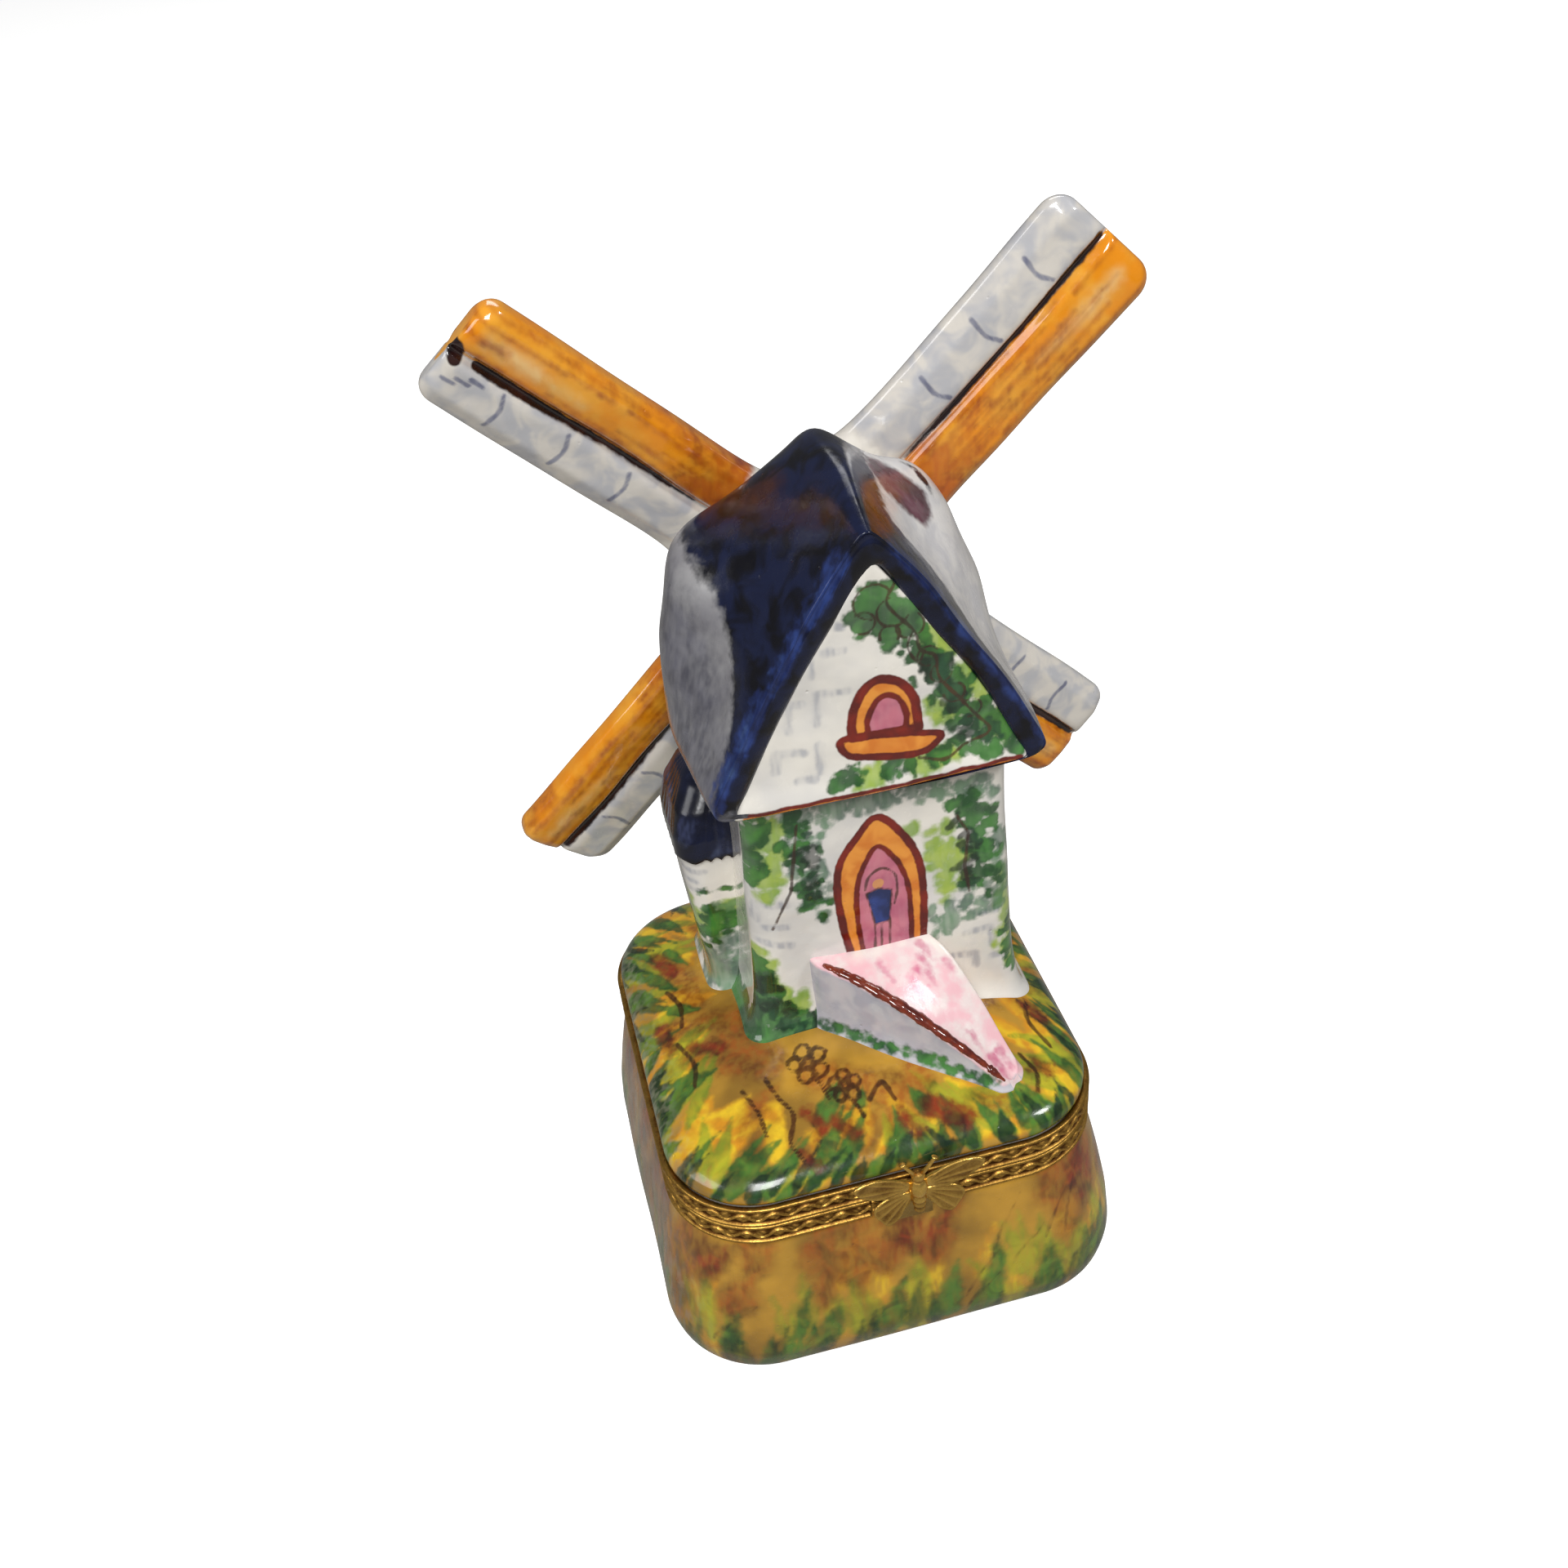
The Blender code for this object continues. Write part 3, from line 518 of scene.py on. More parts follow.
def flower(spot, size, seed, turn=0.0):
    # a generic little flower in outline: five petals round a ring, on a stalk
    dice = np.random.default_rng(seed)
    x, y = spot
    strokes = []
    for petal in range(5):
        angle = turn + petal * 2 * math.pi / 5
        middle = np.array([x + size * math.cos(angle), y + size * math.sin(angle)])
        ring = [middle + size * 0.55 * np.array([math.cos(a), math.sin(a)]) * dice.uniform(0.85, 1.15)
                for a in np.linspace(0, 2 * math.pi, 9)]
        strokes.append(np.array(ring))
    strokes.append(np.array([(x + 0.4 * size * math.cos(a), y + 0.4 * size * math.sin(a))
                             for a in np.linspace(0, 2 * math.pi, 7)]))
    strokes.append(curveThrough([(x, y - size), (x + 0.5, y - 1.8 * size), (x + 1.0, y - 3.0 * size)], 4))
    return strokes


def makeMound():
    rings = squareRings(moundPlan)
    flat = rings.reshape(-1, 3)
    widest = np.abs(rings[:, :, :2]).max((1, 2))
    start = int(np.where(widest > moundPlan["rim"])[0][0])
    top = np.repeat(np.arange(len(rings)) >= start, rings.shape[1])
    slope = rings[start:]
    plan = flat[:, :2]
    lines = [(path, 0.22) for spot, size, seed in (((-6.4, -11.4), 1.45, 3), ((-3.4, -14.8), 1.15, 4))
             for path in flower(spot, size, seed, seed)]
    lines += [(curveThrough(path, 6), 0.25) for path in (
        ((-11.2, -11.6), (-10.4, -14.2), (-9.4, -16.4), (-10.4, -19.0), (-9.6, -21.0)),
        ((-13.8, -12.0), (-12.8, -15.0), (-12.6, -17.6)), ((-1.4, -16.8), (0.4, -15.4), (1.2, -17.4)),
        ((19.0, -8.0), (18.2, -11.0), (19.4, -14.5)), ((15.6, -15.2), (16.6, -17.6), (16.0, -19.6)),
        ((-19.0, -2.0), (-17.8, -6.0), (-18.4, -9.0)), ((-18.6, 6.0), (-17.6, 3.0), (-18.0, 0.0)))]
    spots = [
        (((-18.6, 12.0), (-17.6, 8.4)), 0.9), (((-17.4, -3.6), (-14.9, -5.4)), 0.9),
        (((-9.6, -20.2), (-8.4, -21.6)), 0.6), (((-5.4, -18.2), (-3.6, -19.8)), 0.8),
        (((4.8, -19.0), (7.4, -20.6)), 1.3), (((17.0, -16.0), (17.8, -18.0)), 0.5),
        (((16.0, -17.4), (18.8, -16.8)), 0.40), (((18.6, -8.4), (19.8, -10.6)), 0.8),
        (((-20.4, 1.0), (-19.6, -2.4)), 0.8), (((-8.0, -16.6), (-6.8, -18.4)), 0.7),
        (((1.6, -19.2), (2.6, -20.8)), 0.8), (((10.6, 18.6), (13.4, 17.4)), 1.2),
        (((-6.0, 18.6), (-3.4, 19.4)), 1.1), (((20.4, 3.0), (19.6, 6.0)), 1.0)]
    patches = [(((-12.6, -3.0), (-13.6, -7.6), (-10.6, -9.8)), 2.2),
               (((-6.0, -12.8), (-2.6, -15.0), (1.8, -16.4)), 1.9),
               (((-16.6, 8.0), (-16.0, 2.0)), 1.5), (((9.6, -20.0), (12.4, -20.4)), 1.3),
               (((19.0, -2.0), (19.4, 2.0)), 1.6), (((-3.0, 17.8), (6.0, 18.4)), 1.8)]
    golden = [(((17.2, -7.4), (19.2, -11.0), (18.2, -13.8)), 1.5), (((-11.4, -15.4), (-12.0, -19.6)), 1.2),
              (((-14.6, -14.0), (-15.6, -17.0)), 1.0), (((-8.0, -19.0), (-7.6, -21.4)), 0.8)]
    fields = {
        "yellow": bladeRows(slope, 0.02, 0.26, 96, 21, (4, 8), (0.8, 1.6), 0.5),
        "lime": bladeRows(slope, 0.02, 0.24, 84, 22, (4, 7.5), (0.6, 1.1), -0.8),
        "rust": bladeRows(slope, 0.14, 0.42, 40, 25, (3, 6), (0.8, 1.6), 1.0),
        "leaf": bladeRows(slope, 0.0, 0.10, 96, 23, (3.5, 8), (0.55, 1.15), 0.9)
        + bladeRows(slope, 0.1, 0.34, 26, 28, (2.5, 5.5), (0.5, 1.0), 0.9),
        "deep": bladeRows(slope, 0.0, 0.08, 80, 24, (2.2, 5.6), (0.45, 0.9), 0.8),
    }
    fields = {name: strokeField(flat, strokes) for name, strokes in fields.items()}
    fields["yellow"] = np.minimum(fields["yellow"], strokeField(plan, golden))
    fields["rust"] = np.minimum(fields["rust"], strokeField(plan, patches))
    fields["wine"] = strokeField(plan, spots)
    fields["line"] = strokeField(plan, lines)
    # painted sheen: the mound's left side is washed pale grey-green
    fields["sky"] = np.minimum(flat[:, 0] + 20.9, fieldReach)
    fields["bare"] = np.where(top, 1.0, -1.0)
    look = meadowLook
    layers = coats(look, yellow=(0.4, 0.3, 0.85), lime=(0.3, 0.3, 0.85), rust=(0.9, 0.5, 0.7),
                   leaf=(0.25, 0.25, 0.92), deep=(0.22, 0.25, 0.92), sky=(1.8, 0.8, 0.5),
                   wine=(0.5, 0.5, 0.85), line=(0.12, 0.12, 0.9), bare=(0.3, 0.1, 1.0))
    material = glazed("moundGlaze", look["ground"], look["shade"], layers, coat=0.6, sheen=0.10)
    makePiece("paintedMound", loftSolid(rings), material, "lid", ["lid_mound"], fields)


makeBox()
makeMound()

# tower, annex and ramp

wallLook = {
    "white": colour(0.86, 0.82, 0.74), "cool": colour(0.70, 0.68, 0.65),
    "stone": (colour(0.34, 0.36, 0.42), colour(0.22, 0.24, 0.31)),
    "lime": (colour(0.36, 0.50, 0.03), colour(0.20, 0.36, 0.02)),
    "leaf": (colour(0.055, 0.22, 0.035), colour(0.012, 0.075, 0.016)),
    "teal": (colour(0.08, 0.23, 0.10), colour(0.020, 0.10, 0.055)),
    "deep": (colour(0.010, 0.05, 0.030), colour(0.004, 0.014, 0.008)),
    "twig": (colour(0.09, 0.035, 0.012), colour(0.03, 0.012, 0.006)),
    "frame": (colour(0.24, 0.014, 0.004), colour(0.11, 0.006, 0.003)),
    "gold": (colour(0.86, 0.33, 0.045), colour(0.70, 0.20, 0.02)),
    "rose": (colour(0.62, 0.16, 0.23), colour(0.48, 0.09, 0.17)),
    "blue": (colour(0.03, 0.06, 0.26), colour(0.012, 0.022, 0.10)),
    "skin": (colour(0.78, 0.38, 0.17), colour(0.68, 0.30, 0.12)),
}

doorPlan = {  # x from the mill's middle and height above the tower's foot line
    "foot": 35.0,
    "outer": ((-4.0, 6.2), (-4.6, 10.4), (-4.9, 14.8), (-4.5, 18.6), (-2.7, 21.4), (-0.3, 23.6),
              (2.2, 20.8), (3.8, 17.0), (4.2, 12.8), (3.9, 6.0)),
    "coat": ((-1.9, 14.0), (-0.6, 14.3), (0.8, 13.8), (0.4, 9.8), (-1.2, 9.7)),
    "inner": ((-2.7, 6.4), (-3.0, 10.5), (-2.9, 14.5), (-2.3, 17.0), (-0.5, 19.9), (1.4, 17.6),
              (2.5, 14.3), (2.7, 10.5), (2.6, 6.2)),
}


def wallPaint(name):
    look = wallLook
    layers = coats(look, stone=(0.30, 0.2, 0.6), lime=(0.4, 0.4, 0.92), teal=(0.3, 0.4, 0.85),
                   leaf=(0.22, 0.4, 0.97), deep=(0.2, 0.3, 0.85), rose=(0.12, 0.1, 0.95),
                   gold=(0.1, 0.06, 1.0), blue=(0.1, 0.08, 1.0), skin=(0.08, 0.05, 1.0),
                   twig=(0.1, 0.1, 0.9), frame=(0.1, 0.1, 1.0))
    return glazed(name, look["white"], look["cool"], layers)


gableBox = nodeBox("front_gable")
millX = float((gableBox[0][0] + gableBox[1][0]) / 2)           # the middle line of the mill
towerPlan = {
    "rows": (  # height, half width, front, back
        (32.0, 15.6, -7.1, 14.9), (35.0, 15.1, -6.7, 14.6), (38.0, 14.7, -6.4, 14.3),
        (46.0, 14.1, -6.1, 13.9), (56.0, 13.7, -6.0, 13.6), (64.4, 13.5, -5.9, 13.4),
    ),
    "corner": 2.6, "levels": 140, "uneven": 0.32,
}


def frontField(flat, origin, mask, strokes):
    picture = np.column_stack([flat[:, 0] - millX, flat[:, 2] - origin])
    return np.where(mask, strokeField(picture, strokes), fieldReach)


def frontFill(flat, origin, mask, outer, inner=None):
    picture = np.column_stack([flat[:, 0] - millX, flat[:, 2] - origin])
    gap = fillGap(picture, outer)
    if inner is not None:
        gap = np.maximum(gap, -fillGap(picture, inner))
    return np.where(mask, np.minimum(gap, fieldReach), fieldReach)


def closedLine(points):
    return np.vstack([points, points[:1]])


def flareFoot(flat, middle, reach=0.9, fall=0.8):
    # spreads the foot of a wall into the mound, as wet clay is smoothed with a finger
    above = flat[:, 2] - moundHeight(flat[:, 0], flat[:, 1])
    outward = flat[:, :2] - middle
    outward /= np.maximum(np.linalg.norm(outward, axis=1), 1e-6)[:, None]
    push = reach * np.exp(-np.clip(above + 0.2, 0, None) / fall)
    flat[:, :2] += outward * push[:, None]


def makeTower():
    rows = np.array(towerPlan["rows"])
    base, top = rows[0, 0], rows[-1, 0]
    rings = []
    for t in np.linspace(0, 1, towerPlan["levels"]):
        z = top - (top - base) * (1 - t)
        half, front, back = (np.interp(z, rows[:, 0], rows[:, k]) for k in (1, 2, 3))
        loop = squareLoop(2 * half, back - front, towerPlan["corner"], (millX, (front + back) / 2),
                          (34, 40, 34, 112), 8)
        foot = moundHeight(loop[:, 0], loop[:, 1]) - 0.9
        rings.append(np.column_stack([loop, foot + (top - foot) * t]))
    rings = np.array(rings)
    flat = rings.reshape(-1, 3)
    middle = np.array([millX, 4.0])
    flat[:, :2] += (flat[:, :2] - middle) / 20 * wave(flat, 17, 31)[:, None] * towerPlan["uneven"]
    flareFoot(flat, middle)
    front = flat[:, 1] < -3.9
    foot = doorPlan["foot"]
    outer, inner = (curveThrough(doorPlan[key], 6) for key in ("outer", "inner"))

    def strokes(*items):
        return frontField(flat, foot, front, items)

    leafDabs = (dabs(((-12.4, 26.6), (-12.9, 22.5), (-13.2, 19.0)), 60, 0.50, 0.5, 41)
                + dabs(((-8.6, 25.5), (-8.2, 20.0), (-7.2, 14.0)), 52, 0.45, 0.8, 42)
                + dabs(((7.8, 22.5), (10.4, 20.5), (10.8, 12.0)), 70, 0.50, 0.9, 43)
                + dabs(((-13.8, 7.0), (-14.2, 3.6), (-13.0, 0.2), (-10.5, -1.0), (-7.6, -2.4)), 150, 0.62,
                       0.7, 44)
                + dabs(((13.4, 5.0), (13.8, 2.0), (14.2, -1.0)), 26, 0.4, 0.4, 45)
                + dabs(((-15.8, 3.0), (-15.8, -1.0), (-14.6, -3.2), (-11.0, -3.6), (-6.0, -3.4)), 130, 0.75,
                       0.6, 66))
    tealDabs = (dabs(((-9.2, 25.4), (-3.0, 26.2), (4.0, 25.6), (11.6, 24.2)), 120, 0.55, 0.75, 46)
                + dabs(((-8.2, 24.0), (-7.6, 18.0), (-6.6, 12.4)), 60, 0.50, 0.9, 47)
                + dabs(((12.4, 17.0), (12.6, 11.0), (9.4, 9.2), (6.2, 8.2)), 80, 0.55, 0.9, 48))
    limeDabs = (dabs(((-10.8, 25.0), (-11.6, 20.0), (-12.2, 16.4)), 40, 0.75, 0.6, 49)
                + dabs(((5.2, 20.6), (6.8, 17.0), (7.0, 13.0)), 36, 0.75, 0.8, 50)
                + dabs(((-13.4, 8.4), (-13.8, 5.4), (-10.4, 1.2)), 30, 0.7, 0.7, 51)
                + dabs(((12.4, 13.0), (13.2, 6.0), (13.4, 0.0)), 34, 0.6, 0.6, 52))
    deepDabs = (dabs(((-8.0, 23.0), (-7.4, 19.0), (-6.8, 15.0)), 26, 0.4, 0.5, 57)
                + dabs(((8.2, 21.0), (9.4, 17.0), (9.0, 12.6)), 30, 0.4, 0.6, 58)
                + dabs(((-13.4, 4.0), (-12.0, 0.0), (-8.6, -2.0)), 40, 0.45, 0.6, 59))
    stones = [((8.4, 5.6), (11.3, 5.6), (11.5, 3.1)), ((6.9, 2.8), (9.6, 2.4), (9.6, 0.8)),
              ((9.9, 8.0), (13.2, 7.6)), ((-13.4, 13.2), (-13.1, 15.5), (-10.1, 14.9)),
              ((-13.2, 10.2), (-10.1, 9.2)), ((-12.6, 12.2), (-10.4, 11.8)), ((11.2, 1.4), (13.4, 1.2))]
    fields = {
        "stone": strokes(*[(path, 0.42) for path in stones]),
        "lime": frontField(flat, foot, front, limeDabs), "leaf": frontField(flat, foot, front, leafDabs),
        "teal": frontField(flat, foot, front, tealDabs),
        "rose": frontFill(flat, foot, front, inner), "gold": frontFill(flat, foot, front, outer, inner),
        "blue": frontFill(flat, foot, front, doorPlan["coat"]),
        "skin": strokes((((-0.6, 15.0),), 0.62)),
        "twig": strokes((((-8.4, 24.8), (-9.2, 19.5), (-9.6, 16.6), (-11.9, 11.9)), (0.14, 0.2, 0.2, 0.12)),
                        (((8.0, 21.4), (9.2, 18.8), (8.7, 14.6), (9.1, 11.2)), 0.16),
                        (((-1.2, 9.7), (-1.4, 6.4)), 0.13), (((-0.5, 9.7), (-0.7, 6.4)), 0.13),
                        (((0.4, 9.7), (0.2, 6.4)), 0.13),
                        (curveThrough(((-2.0, 14.6), (-1.5, 16.2), (-0.1, 16.9), (1.2, 15.8), (1.4, 13.6),
                                       (1.0, 11.8)), 5), 0.15),
                        (((-1.9, 14.0), (-0.6, 14.4), (0.8, 13.8), (0.4, 9.8), (-1.2, 9.7), (-1.9, 14.0)),
                         0.11)),
        "deep": frontField(flat, foot, front, deepDabs),
        "frame": strokes((outer, 0.42), (inner, 0.30)),
    }
    # the back and the right side carry a few stones and leaves of their own
    side = np.column_stack([flat[:, 1], flat[:, 2] - foot])
    onRight = (flat[:, 0] > millX + 11.5) & ~front
    onBack = (flat[:, 1] > 12.0)
    rightStones = [((y, z), (y + 2.6, z), (y + 2.6, z - 1.6)) for y, z in
                   ((-2.0, 20.0), (3.5, 16.5), (8.5, 21.0), (0.5, 9.0), (7.5, 8.0))]
    rightLeaves = dabs(((12.0, 26.0), (6.0, 24.5), (-2.0, 26.0)), 120, 0.6, 1.0, 53)
    rightLeaves += dabs(((-2.0, -1.0), (4.0, 0.5), (12.0, -1.5)), 110, 0.65, 1.1, 54)
    back = np.column_stack([flat[:, 0] - millX, flat[:, 2] - foot])
    backLeaves = dabs(((-12.0, -1.0), (-4.0, 1.0), (4.0, 0.0), (12.0, 1.0)), 160, 0.65, 1.2, 55)
    backLeaves += dabs(((9.5, 26.0), (10.5, 18.0), (9.0, 10.0)), 90, 0.6, 1.0, 56)
    backStones = [((x, z), (x + 2.8, z), (x + 2.8, z - 1.6)) for x, z in
                  ((-9.0, 20.0), (-4.0, 14.0), (3.0, 19.5), (-10.0, 9.0), (2.5, 9.5))]
    leftLeaves = dabs(((-6.0, -2.6), (-3.0, -2.0), (2.0, -3.0)), 60, 0.75, 0.8, 67)
    onLeft = (flat[:, 0] < millX - 11.5) & ~front
    fields["leaf"] = np.where(onLeft, strokeField(side, leftLeaves), fields["leaf"])
    sides = {"leaf": (rightLeaves, backLeaves), "lime": (rightLeaves[::3], backLeaves[::3]),
             "stone": ([(path, 0.42) for path in rightStones], [(path, 0.42) for path in backStones])}
    for field, (right, rear) in sides.items():
        grow = 0.5 if field == "lime" else 0.0
        fields[field] = np.where(onRight, strokeField(side, right) - grow, fields[field])
        fields[field] = np.where(onBack, strokeField(back, rear) - grow, fields[field])
    makePiece("towerWalls", loftSolid(rings), wallPaint("towerGlaze"), "lid", ["tower_body"],
              fields)


annexPlan = {
    "rows": (  # height, reach left of the mill's middle, front, back
        (32.0, 17.6, 2.4, 14.3), (36.0, 17.9, 2.4, 14.0), (40.0, 18.3, 2.3, 13.7), (48.0, 19.0, 2.2, 13.2),
        (53.0, 19.1, 2.2, 13.2),
    ),
    "corner": 2.4, "levels": 96, "inner": 11.5, "uneven": 0.25, "straights": (8, 24, 44, 24),
}


def makeAnnex():
    plan = annexPlan
    rows = np.array(plan["rows"])
    base, top = rows[0, 0], rows[-1, 0]
    rings = []
    for t in np.linspace(0, 1, plan["levels"]):
        z = base + (top - base) * t
        reach, front, back = (np.interp(z, rows[:, 0], rows[:, k]) for k in (1, 2, 3))
        outer, inner = millX - reach, millX - plan["inner"]
        loop = squareLoop(inner - outer, back - front, plan["corner"],
                          ((outer + inner) / 2, (front + back) / 2), plan["straights"], 10)
        foot = moundHeight(loop[:, 0], loop[:, 1]) - 0.9
        rings.append(np.column_stack([loop, foot + (top - foot) * t]))
    rings = np.array(rings)
    flat = rings.reshape(-1, 3)
    middle = np.array([millX - 11.0, 8.0])
    flat[:, :2] += (flat[:, :2] - middle) / 10 * wave(flat, 14, 33)[:, None] * plan["uneven"]
    flareFoot(flat, middle)
    picture = np.column_stack([flat[:, 1] * 0.8 - flat[:, 0] * 0.6, flat[:, 2] - 35.0])
    fields = {name: np.full(len(flat), fieldReach) for name in
              ("rose", "gold", "blue", "skin", "twig", "frame", "deep")}
    limeDabs = dabs(((8.0, 9.0), (11.0, 6.0), (16.0, 8.0), (20.0, 4.0)), 60, 0.9, 1.3, 61)
    tealDabs = dabs(((9.0, -1.0), (12.0, 0.5), (18.0, 0.0), (22.0, -1.0)), 110, 1.0, 1.4, 62)
    fields["lime"] = strokeField(picture, limeDabs)
    fields["teal"] = strokeField(picture, tealDabs
                                 + dabs(((8.4, 9.0), (8.8, 5.0), (9.6, 1.0)), 40, 0.5, 0.5, 63))
    fields["leaf"] = strokeField(picture, dabs(((9.4, 11.0), (9.0, 7.0), (10.4, 4.0)), 30, 0.5, 0.7, 64)
                                 + dabs(((14.0, 7.0), (17.0, 5.0)), 22, 0.45, 0.9, 65))
    fields["stone"] = strokeField(picture, [(((x, z), (x + 3.2, z + 0.2)), 0.3) for x, z in
                                            ((9.6, 14.4), (10.4, 13.0), (9.4, 11.6), (15.0, 14.0),
                                             (16.4, 11.6))])
    makePiece("annexWalls", loftSolid(rings), wallPaint("annexGlaze"), "lid", ["side_annex"],
              fields)


navyLook = {
    "ink": (colour(0.008, 0.012, 0.040), colour(0.003, 0.003, 0.006)),
    "arc": (colour(0.008, 0.012, 0.040), colour(0.003, 0.003, 0.006)),
    "cobalt": (colour(0.030, 0.062, 0.24), colour(0.012, 0.022, 0.095)),
    # painted highlight: pale blue streaks on the roof's rakes and beside the ridge
    "ice": (colour(0.10, 0.17, 0.28), colour(0.03, 0.06, 0.16)),
    "frost": (colour(0.10, 0.13, 0.24), colour(0.05, 0.06, 0.14)),
    "plum": (colour(0.050, 0.018, 0.10), colour(0.02, 0.008, 0.03)),
    # painted reflection: brown and wine patches on the roof stand for the spar roots mirrored in the glaze
    "brown": (colour(0.05, 0.016, 0.008), colour(0.018, 0.006, 0.004)),
    "wine": (colour(0.13, 0.030, 0.055), colour(0.055, 0.010, 0.016)),
    "soot": (colour(0.006, 0.005, 0.008), colour(0.003, 0.003, 0.004)),
    "mist": colour(0.34, 0.335, 0.34), "dusk": colour(0.24, 0.235, 0.25),
    "milk": (colour(0.72, 0.70, 0.68), colour(0.60, 0.59, 0.60)),
    "haze": (colour(0.10, 0.10, 0.13), colour(0.03, 0.03, 0.05)),
}


annexRoofPlan = {
    "rows": (  # height, reach left of the mill's middle, front, back
        (51.0, 19.6, 1.7, 13.6), (53.4, 19.6, 1.9, 13.6), (56.2, 18.9, 3.0, 13.4),
        (58.6, 17.5, 4.6, 13.0), (60.3, 15.6, 6.6, 12.2), (60.9, 13.8, 8.0, 11.4),
    ),
    "corner": 2.5, "levels": 46, "scallop": 0.45, "scallops": 8, "edge": 0.6,
}


def makeAnnexRoof():
    plan = annexRoofPlan
    rows = np.array(plan["rows"])
    base, top = rows[0, 0], rows[-1, 0]
    rings = []
    for t in np.linspace(0, 1, plan["levels"]):
        z = base + (top - base) * t
        reach, front, back = (np.interp(z, rows[:, 0], rows[:, k]) for k in (1, 2, 3))
        outer, inner = millX - reach, millX - annexPlan["inner"]
        radius = min(plan["corner"], (inner - outer) / 2 - 0.1)
        loop = squareLoop(inner - outer, back - front, radius, ((outer + inner) / 2, (front + back) / 2),
                          annexPlan["straights"], 10)
        around = np.arange(len(loop)) / len(loop) * 2 * math.pi
        scallop = plan["scallop"] * np.abs(np.sin(around * plan["scallops"])) * (1 - t) ** 2
        rings.append(np.column_stack([loop, np.full(len(loop), z) + scallop]))
    rings = np.array(rings)
    flat = rings.reshape(-1, 3)
    look = navyLook
    under = flat[:, 2] - base - plan["edge"]
    # the lowest strip of the roof is painted near-black
    fields = {"frost": wave(flat, 5, 71) * 1.4 + 0.9, "soot": np.minimum(under, fieldReach)}
    layers = coats(look, frost=(0.7, 0.5, 0.6), soot=(0.35, 0.3, 0.95))
    material = glazed("annexRoofGlaze", *look["ink"], layers, coat=0.4, sheen=0.2)
    makePiece("annexRoof", loftSolid(rings), material, "lid", ["annex_roof"], fields)


rampPlan = {
    "rows": (  # left edge x and y, right edge x and y, height
        (-4.4, -5.6, 8.6, -5.6, 42.0), (-3.4, -7.6, 9.2, -6.6, 41.8), (-0.8, -9.6, 10.2, -7.8, 40.9),
        (2.8, -12.2, 11.4, -9.6, 38.8), (6.6, -14.8, 12.8, -12.0, 35.8), (10.2, -17.2, 14.0, -14.6, 32.6),
        (12.4, -18.8, 14.8, -16.8, 30.4),
    ),
    "strokes": 15, "leaves": 120, "sag": 0.35,
}
rampLook = {
    "pink": colour(0.84, 0.50, 0.54), "pale": colour(0.80, 0.68, 0.66),
    "fade": (wallLook["white"], colour(0.80, 0.68, 0.66)), "leaf": wallLook["leaf"],
    "magenta": (colour(0.72, 0.17, 0.30), colour(0.56, 0.08, 0.20)),
    "side": (colour(0.55, 0.55, 0.58), colour(0.42, 0.43, 0.49)),
}


